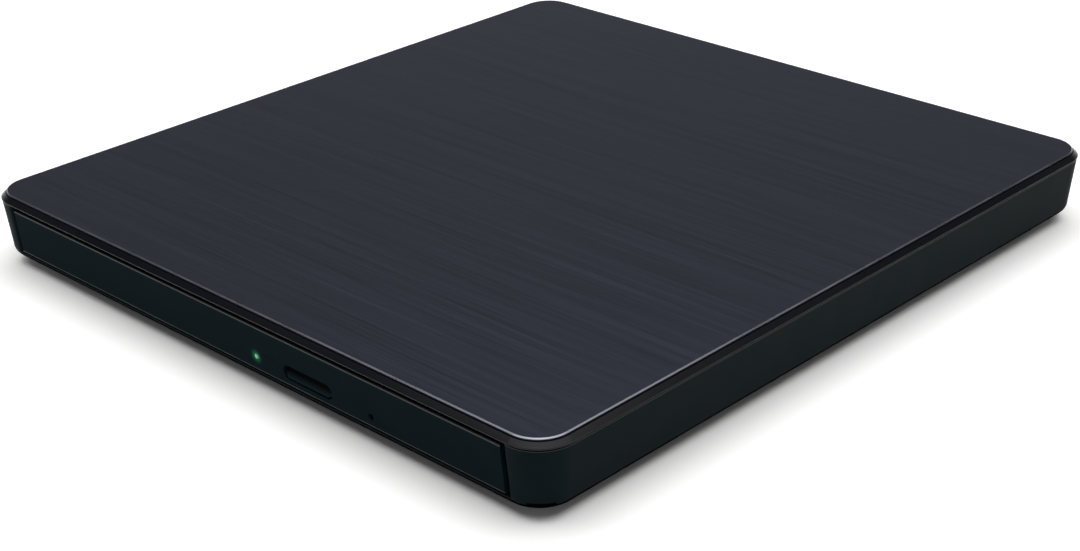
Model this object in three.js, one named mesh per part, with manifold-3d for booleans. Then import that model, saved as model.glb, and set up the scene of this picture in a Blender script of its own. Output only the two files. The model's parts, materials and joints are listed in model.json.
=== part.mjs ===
// Slim external disc writer: a flat case around a 9.5 mm tray drive, with the whole mechanism inside.
// Millimetres. X runs across the front, Y to the back, Z up. The front face looks along -Y.
// The origin is the middle of the footprint, on the surface that the rubber feet stand on.
import * as THREE from "three";
import { mergeVertices } from "three/addons/utils/BufferGeometryUtils.js";
import Module from "manifold-3d";

const wasm = await Module();
wasm.setup();

// Clearances and facets
const restGap = 0.3;
const slideGap = 0.4;
const snugGap = 0.1;
const overrun = 5;
const weldTolerance = 0.00001;
const smallSides = 12;
const roundSides = 28;
const wellSides = 64;
const cornerSteps = 5;

// Case: with the stack of sizes below it comes to the 137 x 145 x 14 mm measured from the photograph
const lipRadius = 6.55;
const lipSlope = 0.7;
const lipDepth = 0.15;
const lipUndercut = 0.05;
const seamGap = 0.3;
const seamInset = 0.15;
const wallInset = 1;
const wallRadius = 5.6;
const undercutHeight = 2.7;
const undercutDepth = 5;
const undercutRadius = 4;
const undercutSteps = 5;
const caseFloorThickness = 1.1;
const caseSideAir = 1.2;
const caseSideWall = 3.3;
const caseRearWall = 2.2;
const rearBayDepth = 10.8;
const frontPostGap = 0.2;
const sillHeight = 1;

// Top panel and top cover
const panelThickness = 0.35;
const panelInset = 1.36;
const panelChamfer = 0.41;
const panelRadius = 5.15;
const coverPlateThickness = 1.25;
const coverPlateRadius = 3.3;
const coverRibThickness = 0.6;
const coverRibHeight = 1.8;
const coverRibWidth = 92;
const coverBossRadius = 2.4;
const coverBossLength = 6.2;

// Rubber feet
const footHeight = 1.2;
const footRadius = 4.4;
const footEdge = 0.2;
const footSideMargin = 1.6;

// Screws
const screwHeadRadius = 1.9;
const screwShankRadius = 0.8;
const screwOffsetY = 1.5;
const driveScrewHead = 0.45;
const driveScrewLength = 2;
const caseScrewHead = 0.8;
const caseScrewLength = 8.5;
const caseBossRadius = 3.1;
const caseBossHeight = 3.3;

// Drive chassis
const driveSheet = 0.6;
const driveWall = 0.7;
const driveCornerRadius = 2;
const driveFrontGap = 0.5;
const coverFlangeDrop = 0.8;
const coverFlangeThickness = 0.5;
const coverEmbossRadius = 52;
const coverEmbossWidth = 3;
const coverEmbossDepth = 0.2;

// Rails and their guides
const guideThickness = 1.7;
const guideLip = 3.3;
const guideLipThickness = 0.6;
const guideFrontInset = 4.5;
const guideLength = 107;
const railThickness = 1.3;
const railHeight = 3.1;
const railLength = 102;
const railGroove = 0.8;
const railGrooveHeight = 1.3;

// Tray
const discRadius = 60;
const wellClearance = 0.5;
const trayHeadroom = 1.2;
const wellDepth = 2;
const wellFloorThickness = 1;
const smallWellRadius = 40.5;
const smallWellDepth = 0.4;
const driveSideAir = 2.8;
const trayFrontRim = 1.7;
const trayRimWall = 1.2;
const trayRearAir = 1.6;
const trayFrontWall = 1.2;
const trayPlateThickness = 2.3;
const traySkirtThickness = 1.2;
const trayCornerRadius = 3;
const fingerNotchRadius = 7;
const fingerNotchShare = 0.98;
const tongueWidth = 0.5;
const tongueHeight = 0.6;

// Bezel and what shows in it, measured from the photograph
const bezelSideInset = 3.6;
const bezelSideGap = 0.8;
const bezelTopGap = 0.55;
const bezelDepth = 5.5;
const bezelTopInset = 0.2;
const bezelBottomInset = 0.97;
const bezelEdge = 0.25;
const bezelWall = 1.7;
const bezelRim = 0.8;
const slotLeftX = 12.5;
const slotLength = 11.4;
const slotLift = 1.1;
const slotHeight = 2.6;
const buttonGap = 0.2;
const buttonRecess = 0.8;
const buttonFlange = 0.5;
const buttonFlangeThickness = 0.6;
const buttonFlangeGap = 0.2;
const buttonStemWidth = 2.4;
const buttonStemHeight = 1.2;
const buttonTravel = 0.3;
const lightX = 5.9;
const lightLift = 2.6;
const lightRadius = 0.55;
const pinholeX = 32.6;
const pinholeLift = 1.8;
const pinholeRadius = 0.55;

// Switch board behind the bezel
const switchBoardLeftX = 3;
const switchBoardLength = 35;
const switchBoardDepth = 7;
const switchBoardThickness = 0.6;
const switchWidth = 5.6;
const switchDepth = 3.4;
const switchHeight = 1.9;
const lightChipWidth = 1.6;
const lightChipDepth = 0.8;
const lightChipHeight = 1.9;

// Lower tray plate
const plateThickness = 0.3;
const plateSideAir = 1;
const plateFrontAir = 1.5;
const plateLength = 94;
const plateFlexAir = 3;
const plateFlexReach = 5;

// Lock: post on the chassis, lever and solenoid under the tray
const leverX = 46;
const leverY = -36;
const leverLift = 0.2;
const leverThickness = 1;
const leverHubRadius = 2.8;
const leverPinRadius = 1.2;
const leverArmLength = 14;
const leverArmWidth = 2.4;
const leverHookWidth = 2;
const leverHookReach = 5;
const leverTailLength = 7;
const leverReleased = 14;
const postOffsetX = 4.5;
const postGap = 1;
const postRadius = 1;
const postPinRadius = 0.7;
const postHeight = 1.9;
const solenoidWidth = 10;
const solenoidDepth = 5.6;
const solenoidHeight = 2.6;
const solenoidGapX = 5;
const plungerRadius = 0.7;
const plungerBury = 5.7;
const plungerStroke = 2.5;
const plungerTipGap = 0.5;

// Eject pusher
const pusherX = -20;
const pusherRodRadius = 0.45;
const pusherLength = 33.5;
const pusherRibThickness = 1.2;
const pusherRibWidth = 4.8;
const pusherRearRibInset = 2.7;
const pusherRibSpacing = 21;
const pusherCollarRadius = 0.9;
const pusherCollarGap = 8.5;
const pusherCollarThickness = 1;
const springWire = 0.13;
const springRadius = 0.67;
const springTurns = 9;
const springTurnSteps = 7;
const springWireSides = 5;

// Main board at the back of the chassis: chips as shares of its half width and its depth
const mainBoardSideAir = 6.3;
const mainBoardDepth = 21.5;
const mainBoardRearAir = 1.3;
const mainBoardLift = 0.8;
const mainBoardThickness = 0.8;
const mainChipHeight = 1.1;
const mainChipShares = [
  { name: "controller", middle: [-0.088, 0.51], size: [0.228, 0.6] },
  { name: "memory", middle: [0.228, 0.6], size: [0.158, 0.28] },
  { name: "motor driver", middle: [-0.614, 0.74], size: [0.158, 0.33] },
  { name: "oscillator", middle: [0.386, 0.33], size: [0.07, 0.14] },
];
const dataPlugSideAir = 1.9;
const dataSocketWidth = 22.5;
const dataSocketDepth = 8.6;
const dataSocketHeight = 3.6;
const dataSocketWall = 1;
const dataTongueHeight = 0.7;
const dataTongueReach = 3.4;
const dataPlugGap = 0.7;
const dataPlugDepth = 4.6;
const rearWindowMargin = 1;
const trayNotchMargin = 1.4;

// Bridge board behind the drive: chips as shares of its half length and its depth
const bridgeDepth = 8.4;
const bridgeRearAir = 0.7;
const bridgeLift = 2.1;
const bridgeThickness = 0.8;
const bridgeChipHeight = 1;
const bridgeChipShares = [
  { name: "bridge", middle: [-0.126, 0.5], size: [0.161, 0.83] },
  { name: "crystal", middle: [0.103, 0.5], size: [0.103, 0.3] },
  { name: "regulator", middle: [0.264, 0.5], size: [0.08, 0.48] },
];
const bridgePegRadius = 0.7;
const bridgePostRadius = 1.6;
const bridgePegInset = 2.3;
const bridgePegEndInset = 3.5;
const bridgePegPlugGap = 2;

// USB inlet at the back
const usbX = -20;
const usbBoardReach = 14;
const usbWidth = 7.7;
const usbHeight = 3.9;
const usbDepth = 9;
const usbShell = 0.35;
const usbTongueWidth = 4.6;
const usbTongueHeight = 0.9;
const usbPortMargin = 0.5;
const usbBackWall = 0.8;

// Flex cable, folded under the tray
const flexBoardInset = 1;
const flexWidth = 14;
const flexThickness = 0.2;
const flexBendY = -13;
const flexLength = 61;
const flexBendSteps = 8;
const flexRampLength = 2.7;
const flexBoardReach = 6;

// Traverse: a turned frame that carries the spindle motor and the pickup
const traverseTurn = 225;
const frameLift = 1.6;
const frameThickness = 0.6;
const frameBackU = -17;
const frameTaperU = 58;
const frameFrontRim = 1.2;
const frameEndWall = 1.8;
const frameEndMargin = 0.3;
const frameWindowAir = 0.6;
const frameMotorAir = 0.6;

// Spindle motor and turntable
const rotorRadius = 11.5;
const rotorWall = 0.8;
const rotorTopThickness = 0.7;
const motorPlateMargin = 1.7;
const motorPlateThickness = 0.3;
const motorPlateLift = 0.4;
const bearingWall = 1.2;
const shaftRadius = 1.5;
const shaftLift = 0.3;
const statorHub = 5.2;
const statorAir = 0.8;
const statorPoleWidth = 1.5;
const statorShoe = 1.1;
const statorShoeWidth = 4.4;
const statorHeight = 2;
const statorLift = 0.4;
const statorPoles = 9;
const hubRadius = 7.4;
const hubTopRadius = 6.5;
const hubShoulder = 1.4;
const hubHeight = 2;
const padInner = 9;
const padThickness = 0.4;
const clawCount = 3;
const clawWidth = 2.4;
const clawLength = 2;
const clawReach = 0.5;
const clawHeight = 0.9;
const clawLift = 0.6;
const clawStroke = 0.6;
const clawSide = 0.3;

// Pickup
const lensStartU = 23;
const pickupTravel = 35;
const carriageBack = 9.4;
const carriageWall = 0.6;
const carriageHalfWidth = 13.6;
const carriageHeight = 2.2;
const carriageCornerRadius = 0.9;
const rodRadius = 0.7;
const rodV = 12;
const rodHolderU = 9;
const rodHolderDepth = 2.2;
const rodHolderWall = 0.35;
const rodEndWall = 0.4;
const rodCarriageGap = 0.25;
const pocketAir = 0.6;
const pocketFloor = 0.7;
const holderBack = 4.9;
const holderFront = 4.4;
const holderHalfWidth = 6.2;
const holderHeight = 1.5;
const lensOffset = 2.6;
const lensBlueRadius = 1.5;
const lensRedRadius = 2;
const lensDepth = 0.6;
const lensDome = 0.35;
const lensGap = 0.2;

// Sled motor and lead screw
const screwV = 17.4;
const leadRadius = 0.8;
const leadBury = 2.2;
const leadTabThickness = 1.2;
const leadTabWall = 0.2;
const nutLength = 3.5;
const nutHeight = 1;
const nutAir = 0.9;
const sledLength = 15.6;
const sledFrontU = 9.6;
const sledHalfWidth = 2.8;
const sledLift = 0.4;
const sledHeight = 2.7;
const sledCornerRadius = 0.8;

// Traverse cover in the well floor
const coverWindowAir = 0.8;
const coverWindowEndAir = 1;
const coverBridge = 2.3;
const coverSideWall = 5;
const coverEndWall = 1.8;
const coverThickness = 0.7;
const coverDrop = 0.1;
const coverRingWidth = 1.8;
const rotorAir = 0.7;

// Rubber mounts of the traverse
const damperBackU = -13;
const damperFrontU = 48;
const damperInnerRim = 1.6;
const damperOuterRim = 0.8;
const damperWaist = 1.9;
const damperFlange = 3.1;
const damperFlangeThickness = 0.4;
const damperScrewHeadRadius = 2;
const damperScrewHead = 0.4;
const damperPostRadius = 2.4;

// Heights, from the feet up through the drive to the top panel
const caseFloor = footHeight + caseFloorThickness;
const driveBottom = caseFloor + restGap;
const baseFloor = driveBottom + driveSheet;
const plateBottom = baseFloor + restGap;
const plateTop = plateBottom + plateThickness;
const trayBottom = plateTop + restGap;
const frameBottom = baseFloor + frameLift;
const frameTop = frameBottom + frameThickness;
const carriageTop = frameBottom + carriageHeight;
const traverseCoverBottom = carriageTop + slideGap;
const traverseCoverTop = traverseCoverBottom + coverThickness;
const wellFloor = traverseCoverTop + coverDrop;
const wellUnder = wellFloor - wellFloorThickness;
const trayTop = wellFloor + wellDepth;
const trayPlateUnder = trayTop - trayPlateThickness;
const driveCeiling = trayTop + trayHeadroom;
const driveTop = driveCeiling + driveSheet;
const baseWallTop = driveCeiling - restGap;
const coverUnder = driveTop + restGap;
const coverTop = coverUnder + coverPlateThickness;
const panelBottom = coverTop + snugGap;
const caseHeight = panelBottom + panelThickness;
const lipZ = coverTop - lipSlope;
const lipBottom = lipZ - lipDepth;
const bodyTop = lipBottom - seamGap;
const bandInset = lipSlope / (caseHeight - lipZ) * panelInset;
const wallBottom = footHeight + undercutHeight;
const sillTop = caseFloor + sillHeight;
const bezelBottom = sillTop + restGap;
const bezelTop = bodyTop - bezelTopGap;
const slotBottom = bezelBottom + slotLift;
const slotTop = slotBottom + slotHeight;
const lightZ = bezelBottom + lightLift;
const pinholeZ = bezelBottom + pinholeLift;
const switchBoardTop = trayBottom + switchBoardThickness;
const mainBoardBottom = baseFloor + mainBoardLift;
const mainBoardTop = mainBoardBottom + mainBoardThickness;
const bridgeBottom = caseFloor + bridgeLift;
const bridgeTop = bridgeBottom + bridgeThickness;
const usbBottom = bridgeTop + restGap;
const dataSocketBottom = mainBoardTop + restGap;
const dataSocketTop = dataSocketBottom + dataSocketHeight;
const dataMiddle = (dataSocketBottom + dataSocketTop) / 2;
const railBottom = plateBottom + guideLipThickness + restGap;
const railTop = railBottom + railHeight;
const railMiddle = (railBottom + railTop) / 2;
const leverBottom = trayBottom + leverLift;
const leverTop = leverBottom + leverThickness;
const pusherZ = wellUnder - restGap - pusherCollarRadius;
const motorPlateBottom = plateTop + motorPlateLift;
const motorPlateTop = motorPlateBottom + motorPlateThickness;
const rotorTop = wellFloor;
const rotorUnder = rotorTop - rotorTopThickness;
const padBottom = rotorTop + restGap;
const rodZ = (frameBottom + carriageTop) / 2;
const rodHolderTop = rodZ + rodRadius + rodCarriageGap + snugGap;
const holderBottom = frameBottom + pocketFloor + slideGap;
const holderTop = holderBottom + holderHeight;
const sledBottom = plateTop + sledLift;
const sledTop = sledBottom + sledHeight;
const screwZ = (sledBottom + sledTop) / 2;
const nutBottom = frameTop + restGap;
const nutTop = nutBottom + nutHeight;
const damperBottom = frameBottom - restGap - damperFlangeThickness;
const damperTop = frameTop + restGap + damperFlangeThickness;

// Widths, from the disc out to the case
const wellRadius = discRadius + wellClearance;
const innerHalf = wellRadius + driveSideAir;
const driveHalf = innerHalf + driveWall;
const cavityHalf = driveHalf + caseSideAir;
const halfWidth = cavityHalf + caseSideWall;
const guideOuter = innerHalf - restGap;
const guideInner = guideOuter - guideThickness;
const railOuter = guideInner - slideGap;
const railInner = railOuter - railThickness;
const skirtOuter = railInner - slideGap;
const skirtInner = skirtOuter - traySkirtThickness;
const bezelHalfWidth = driveHalf - bezelSideInset;
const openingHalf = bezelHalfWidth + bezelSideGap;
const trayHalfWidth = bezelHalfWidth;
const plateHalfWidth = skirtInner - plateSideAir;
const footX = halfWidth - wallInset - undercutDepth - footRadius - footSideMargin;
const dataSocketRightX = footX - caseBossRadius - dataPlugSideAir;
const dataSocketLeftX = dataSocketRightX - dataSocketWidth;
const slotRightX = slotLeftX + slotLength;
const slotMiddleX = slotLeftX + slotLength / 2;
const mainBoardHalfWidth = innerHalf - mainBoardSideAir;
const flexLeftX = flexBoardInset - mainBoardHalfWidth;
const bridgeLeftX = usbX - usbBoardReach;
const bridgeRightX = footX - caseBossRadius - slideGap;
const bridgeMiddleX = (bridgeLeftX + bridgeRightX) / 2;
const bridgeHalfLength = (bridgeRightX - bridgeLeftX) / 2;
const bridgePegLeftX = bridgeLeftX + bridgePegEndInset;
const bridgePegRightX = dataSocketLeftX - bridgePegPlugGap;

// Depths, from the front to the back: the disc sets the drive's depth and the drive the case's
const trayDepth = trayFrontRim + wellRadius + wellRadius + trayRimWall;
const driveDepth = trayDepth + trayRearAir + driveWall;
const caseDepth = bezelDepth + restGap + driveDepth + rearBayDepth + caseRearWall;
const halfDepth = caseDepth / 2;
const bezelBackY = -halfDepth + bezelDepth;
const cavityFront = bezelBackY - frontPostGap;
const trayFront = bezelBackY + restGap;
const driveFrontY = bezelBackY + driveFrontGap;
const spindleY = trayFront + trayFrontRim + wellRadius;
const trayRear = trayFront + trayDepth;
const driveRearY = trayFront + driveDepth;
const cavityRear = driveRearY + rearBayDepth;
const guideFrontY = driveFrontY + guideFrontInset;
const guideRearY = guideFrontY + guideLength;
const railRearY = guideFrontY + railLength;
const plateFrontY = trayFront + trayFrontWall + plateFrontAir;
const plateRearY = plateFrontY + plateLength;
const plateStepX = flexLeftX + flexWidth + plateFlexAir;
const plateStepY = flexBendY - plateFlexReach;
const switchBoardFront = trayFront + trayFrontWall + restGap;
const bezelPlateBack = -halfDepth + bezelBottomInset + bezelWall - bezelEdge;
const caseScrewY = driveRearY + slideGap + caseBossRadius;
const footY = caseScrewY - screwOffsetY;
const driveScrewY = -footY + screwOffsetY;
const postX = leverX + postOffsetX;
const postY = leverY - leverArmLength - postGap - postRadius;
const solenoidRightX = leverX - solenoidGapX;
const pusherRearRibY = trayRear - pusherRearRibInset;
const pusherFrontRibY = pusherRearRibY - pusherRibSpacing;
const pusherCollarY = pusherRearRibY - pusherCollarGap - pusherCollarThickness;
const pusherTipY = driveRearY - driveWall - restGap;
const mainBoardRearY = driveRearY - driveWall - mainBoardRearAir;
const mainBoardFrontY = mainBoardRearY - mainBoardDepth;
const dataSocketRearY = driveRearY - restGap;
const dataSocketFrontY = dataSocketRearY - dataSocketDepth;
const bridgeRearY = cavityRear - bridgeRearAir;
const bridgeFrontY = bridgeRearY - bridgeDepth;
const bridgePegY = bridgeFrontY + bridgePegInset;

// Sizes along and across the traverse
const screwHoleRadius = screwShankRadius + restGap;
const lensEndU = lensStartU + pickupTravel;
const carriageFront = holderFront + pocketAir + carriageWall;
const frameWindowHalfWidth = carriageHalfWidth + frameWindowAir;
const frameFrontHalfWidth = frameWindowHalfWidth + frameFrontRim;
const damperHoleRadius = damperWaist + restGap;
const damperV = frameWindowHalfWidth + damperInnerRim + damperHoleRadius;
const frameHalfWidth = damperV + damperHoleRadius + damperOuterRim;
const damperPlaces = [
  { u: damperBackU, v: damperV },
  { u: damperBackU, v: -damperV },
  { u: damperFrontU, v: -damperV },
];
const frameWindowFrontU = lensEndU + carriageFront + restGap;
const frameFrontU = frameWindowFrontU + frameEndWall + frameEndMargin;
const rodHolderHalf = rodRadius + rodCarriageGap + rodHolderWall;
const leadTabU = lensEndU - carriageBack + nutLength + nutAir;
const leadTabHalf = leadRadius + restGap + leadTabWall;
const coverWindowHalfWidth = holderHalfWidth + coverWindowAir;
const coverWindowBackU = rotorRadius + rotorAir + coverBridge;
const coverWindowFrontU = lensEndU + holderFront + coverWindowEndAir;
const coverHalfWidth = coverWindowHalfWidth + coverSideWall;
const coverFrontU = coverWindowFrontU + coverEndWall;
const coverRingRadius = rotorRadius + rotorAir + coverRingWidth;
const motorPlateRadius = rotorRadius + motorPlateMargin;
const bearingBore = shaftRadius + restGap;
const bearingRadius = bearingBore + bearingWall;
const statorInner = bearingRadius + restGap;
const statorOuter = rotorRadius - rotorWall - statorAir;
const padOuter = rotorRadius - restGap;
const clawInner = hubRadius - clawLength;
const clawSlotInner = clawInner - clawStroke - clawStroke;

// Solid from a three.js geometry
function solid(geometry) {
  const flat = geometry.index ? geometry.toNonIndexed() : geometry;
  for (const key of Object.keys(flat.attributes)) {
    if (key !== "position") flat.deleteAttribute(key);
  }
  const merged = mergeVertices(flat, weldTolerance);
  const vertProperties = new Float32Array(merged.attributes.position.array);
  const triVerts = new Uint32Array(merged.index.array);
  return new wasm.Manifold(new wasm.Mesh({ numProp: 3, vertProperties, triVerts }));
}

// Geometry for a mesh from a solid
function surface(body) {
  const mesh = body.getMesh();
  const geometry = new THREE.BufferGeometry();
  geometry.setAttribute("position", new THREE.BufferAttribute(mesh.vertProperties, 3));
  geometry.setIndex(new THREE.BufferAttribute(mesh.triVerts, 1));
  geometry.computeVertexNormals();
  return geometry;
}

function join(first, ...rest) {
  return rest.reduce((sum, body) => sum.add(body), first);
}

function cut(first, ...rest) {
  return rest.reduce((sum, body) => sum.subtract(body), first);
}

function box(x0, x1, y0, y1, z0, z1) {
  const geometry = new THREE.BoxGeometry(x1 - x0, y1 - y0, z1 - z0);
  geometry.translate((x0 + x1) / 2, (y0 + y1) / 2, (z0 + z1) / 2);
  return solid(geometry);
}

function disk(x, y, radius, z0, z1, sides = smallSides) {
  const geometry = new THREE.CylinderGeometry(radius, radius, z1 - z0, sides);
  geometry.rotateX(Math.PI / 2);
  geometry.translate(x, y, (z0 + z1) / 2);
  return solid(geometry);
}

// Box whose first two lengths are mirrored to the side given by a sign
function sideBox(side, x0, x1, y0, y1, z0, z1) {
  const low = Math.min(side * x0, side * x1);
  const high = Math.max(side * x0, side * x1);
  return box(low, high, y0, y1, z0, z1);
}

// Round bar along Y
function barY(x, z, radius, y0, y1, sides = smallSides) {
  const geometry = new THREE.CylinderGeometry(radius, radius, y1 - y0, sides);
  geometry.translate(x, (y0 + y1) / 2, z);
  return solid(geometry);
}

// Round bar along X
function barX(y, z, radius, x0, x1, sides = smallSides) {
  const geometry = new THREE.CylinderGeometry(radius, radius, x1 - x0, sides);
  geometry.rotateZ(Math.PI / 2);
  geometry.translate((x0 + x1) / 2, y, z);
  return solid(geometry);
}

function prism(shape, z0, z1) {
  const geometry = new THREE.ExtrudeGeometry(shape, {
    depth: z1 - z0,
    bevelEnabled: false,
    curveSegments: cornerSteps,
  });
  geometry.translate(0, 0, z0);
  return solid(geometry);
}

// Body turned about Z from a profile of radius and height pairs that starts and ends on the axis or closes
function turned(profile, sides = roundSides) {
  const geometry = new THREE.LatheGeometry(profile.map(([r, z]) => new THREE.Vector2(r, z)), sides);
  geometry.rotateX(Math.PI / 2);
  return solid(geometry);
}

function roundRect(x0, x1, y0, y1, radius) {
  const shape = new THREE.Shape();
  shape.moveTo(x0 + radius, y0);
  shape.lineTo(x1 - radius, y0);
  shape.absarc(x1 - radius, y0 + radius, radius, -Math.PI / 2, 0, false);
  shape.lineTo(x1, y1 - radius);
  shape.absarc(x1 - radius, y1 - radius, radius, 0, Math.PI / 2, false);
  shape.lineTo(x0 + radius, y1);
  shape.absarc(x0 + radius, y1 - radius, radius, Math.PI / 2, Math.PI, false);
  shape.lineTo(x0, y0 + radius);
  shape.absarc(x0 + radius, y0 + radius, radius, Math.PI, 3 * Math.PI / 2, false);
  return shape;
}

function polygon(points) {
  return new THREE.Shape(points.map(([x, y]) => new THREE.Vector2(x, y)));
}

// Corner points of a rounded rectangle at one height, anticlockwise from above
function ringPoints({ z, inset, radius }) {
  const points = [];
  const corners = [[1, 1], [-1, 1], [-1, -1], [1, -1]];
  corners.forEach(([sx, sy], quarter) => {
    for (let step = 0; step <= cornerSteps; step += 1) {
      const angle = Math.PI / 2 * (quarter + step / cornerSteps);
      const x = sx * (halfWidth - inset - radius) + radius * Math.cos(angle);
      const y = sy * (halfDepth - inset - radius) + radius * Math.sin(angle);
      points.push([x, y, z]);
    }
  });
  return points;
}

// Closed body through a stack of rounded rectangles, from the lowest to the highest
function loft(rings) {
  const rows = rings.map(ringPoints);
  const count = rows[0].length;
  const positions = rows.flat(2);
  const index = [];
  for (let row = 0; row + 1 < rows.length; row += 1) {
    for (let i = 0; i < count; i += 1) {
      const a = row * count + i;
      const b = row * count + (i + 1) % count;
      index.push(a, b, b + count, a, b + count, a + count);
    }
  }
  const top = (rows.length - 1) * count;
  for (let i = 1; i + 1 < count; i += 1) {
    index.push(0, i + 1, i);
    index.push(top, top + i, top + i + 1);
  }
  const geometry = new THREE.BufferGeometry();
  geometry.setAttribute("position", new THREE.Float32BufferAttribute(positions, 3));
  geometry.setIndex(index);
  return solid(geometry);
}

function finish(color, roughness, metalness) {
  return new THREE.MeshStandardMaterial({ color, roughness, metalness });
}

const blackGloss = () => finish(0x0c0d12, 0.2, 0);
const blackPlastic = () => finish(0x171b1c, 0.4, 0);
const darkAluminium = () => finish(0x34363e, 0.35, 0.8);
const steel = () => finish(0xa9abaa, 0.35, 0.9);
const darkSteel = () => finish(0x55585a, 0.4, 0.9);
const trayPlastic = () => finish(0x232426, 0.5, 0);
const board = () => finish(0x1d4a2c, 0.5, 0);
const rubber = () => finish(0x1a1a1a, 0.9, 0);
const copper = () => finish(0xb0713c, 0.4, 0.8);
const glass = () => finish(0x8fb4c8, 0.1, 0);
const amber = () => finish(0x9a6a2a, 0.5, 0);

function piece(group, name, body, material, place = [0, 0, 0]) {
  const mesh = new THREE.Mesh(body.isBufferGeometry ? body : surface(body), material);
  mesh.name = name;
  mesh.position.set(...place);
  group.add(mesh);
  return mesh;
}

// Brushed panel with its chamfered edge
function topPanel() {
  return loft([
    { z: panelBottom, inset: panelInset - panelChamfer, radius: panelRadius + panelChamfer },
    { z: caseHeight, inset: panelInset, radius: panelRadius },
  ]);
}

// Cover plate with the sloping lip, a locating rib along the back and two screw bosses
function topCover() {
  const lip = loft([
    { z: lipBottom, inset: lipUndercut, radius: lipRadius - lipUndercut },
    { z: lipZ, inset: 0, radius: lipRadius },
    { z: coverTop, inset: bandInset, radius: lipRadius - bandInset },
  ]);
  const inside = cavityHalf - restGap;
  const plateShape = roundRect(-inside, inside, cavityFront + restGap, cavityRear - restGap,
    coverPlateRadius);
  const plate = prism(plateShape, coverUnder, coverTop - snugGap);
  const ribBack = cavityRear - restGap;
  const ribTop = coverUnder + snugGap;
  const rib = box(-coverRibWidth / 2, coverRibWidth / 2, ribBack - coverRibThickness, ribBack,
    coverUnder - coverRibHeight, ribTop);
  const bosses = [-footX, footX].map((x) => cut(
    disk(x, caseScrewY, coverBossRadius, coverUnder - coverBossLength, ribTop),
    disk(x, caseScrewY, screwHoleRadius, coverUnder - coverBossLength - overrun, coverUnder - restGap),
  ));
  return join(lip, plate, rib, ...bosses);
}

function bottomCaseOutside() {
  const rings = [];
  for (let step = 0; step <= undercutSteps; step += 1) {
    const angle = Math.PI / 2 * step / undercutSteps;
    rings.push({
      z: wallBottom - undercutHeight * Math.cos(angle),
      inset: wallInset + undercutDepth * (1 - Math.sin(angle)),
      radius: undercutRadius + (wallRadius - undercutRadius) * Math.sin(angle),
    });
  }
  rings.push({ z: bodyTop, inset: seamInset, radius: lipRadius - seamInset });
  return loft(rings);
}

// Boss over a rear foot that takes the long screw into the cover
function caseBoss(x) {
  return disk(x, caseScrewY, caseBossRadius, caseFloor - snugGap, caseFloor + caseBossHeight);
}

function caseBossHole(x) {
  const head = disk(x, caseScrewY, screwHeadRadius + restGap, footHeight - overrun,
    footHeight + snugGap + caseScrewHead + snugGap);
  const shank = disk(x, caseScrewY, screwHoleRadius, footHeight - overrun,
    caseFloor + caseBossHeight + overrun);
  return join(head, shank);
}

function driveScrewHole(x) {
  const head = disk(x, driveScrewY, screwHeadRadius + restGap, footHeight - overrun,
    footHeight + snugGap + driveScrewHead + snugGap);
  const shank = disk(x, driveScrewY, screwHoleRadius, footHeight - overrun, caseFloor + overrun);
  return join(head, shank);
}

function bridgePeg(x) {
  const post = disk(x, bridgePegY, bridgePostRadius, caseFloor - snugGap, bridgeBottom - restGap);
  const peg = disk(x, bridgePegY, bridgePegRadius, caseFloor, bridgeTop + restGap);
  return join(post, peg);
}

function usbPort() {
  const x0 = usbX - usbWidth / 2 - usbPortMargin;
  const z0 = usbBottom - usbPortMargin;
  const z1 = usbBottom + usbHeight + usbPortMargin;
  return box(x0, x0 + usbWidth + usbPortMargin + usbPortMargin, bridgeFrontY, halfDepth + overrun, z0, z1);
}

// Open-topped case with rounded front posts, a low sill under the bezel and the port at the back
function bottomCase() {
  const cavity = box(-cavityHalf, cavityHalf, cavityFront, cavityRear, caseFloor, bodyTop + overrun);
  const frontOpening = box(-openingHalf, openingHalf, -halfDepth - overrun, 0, sillTop, bodyTop + overrun);
  const hollow = cut(bottomCaseOutside(), cavity, frontOpening);
  const pegs = [bridgePegLeftX, bridgePegRightX].map(bridgePeg);
  const carried = join(hollow, caseBoss(-footX), caseBoss(footX), ...pegs);
  return cut(carried, caseBossHole(-footX), caseBossHole(footX), driveScrewHole(-footX),
    driveScrewHole(footX), usbPort());
}

function rubberFoot() {
  const top = footHeight - snugGap;
  return turned([
    [0, 0], [footRadius - footEdge, 0], [footRadius, footEdge], [footRadius, top], [0, top],
  ]);
}

// Pan-head screw with its head down, at the height of its head's underside
function screw(headRadius, headHeight, shankRadius, length) {
  return turned([
    [0, 0], [headRadius, 0], [headRadius, headHeight],
    [shankRadius, headHeight], [shankRadius, length], [0, length],
  ], smallSides);
}

// Chips on a board, placed and sized by shares of the board's half length and its depth
function chipsOn(shares, middleX, halfLength, frontY, depth, top, height) {
  return shares.map(({ middle, size }) => {
    const x = middleX + middle[0] * halfLength;
    const y = frontY + middle[1] * depth;
    const halfX = size[0] * halfLength / 2;
    const halfY = size[1] * depth / 2;
    return box(x - halfX, x + halfX, y - halfY, y + halfY, top - snugGap, top + height);
  });
}

function bridgeBoard() {
  const plate = box(bridgeLeftX, bridgeRightX, bridgeFrontY, bridgeRearY, bridgeBottom, bridgeTop);
  const holes = [bridgePegLeftX, bridgePegRightX].map((x) => disk(x, bridgePegY, bridgePegRadius + restGap,
    bridgeBottom - overrun, bridgeTop + overrun));
  const chips = chipsOn(bridgeChipShares, bridgeMiddleX, bridgeHalfLength, bridgeFrontY, bridgeDepth,
    bridgeTop, bridgeChipHeight);
  return cut(join(plate, ...chips), ...holes);
}

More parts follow.
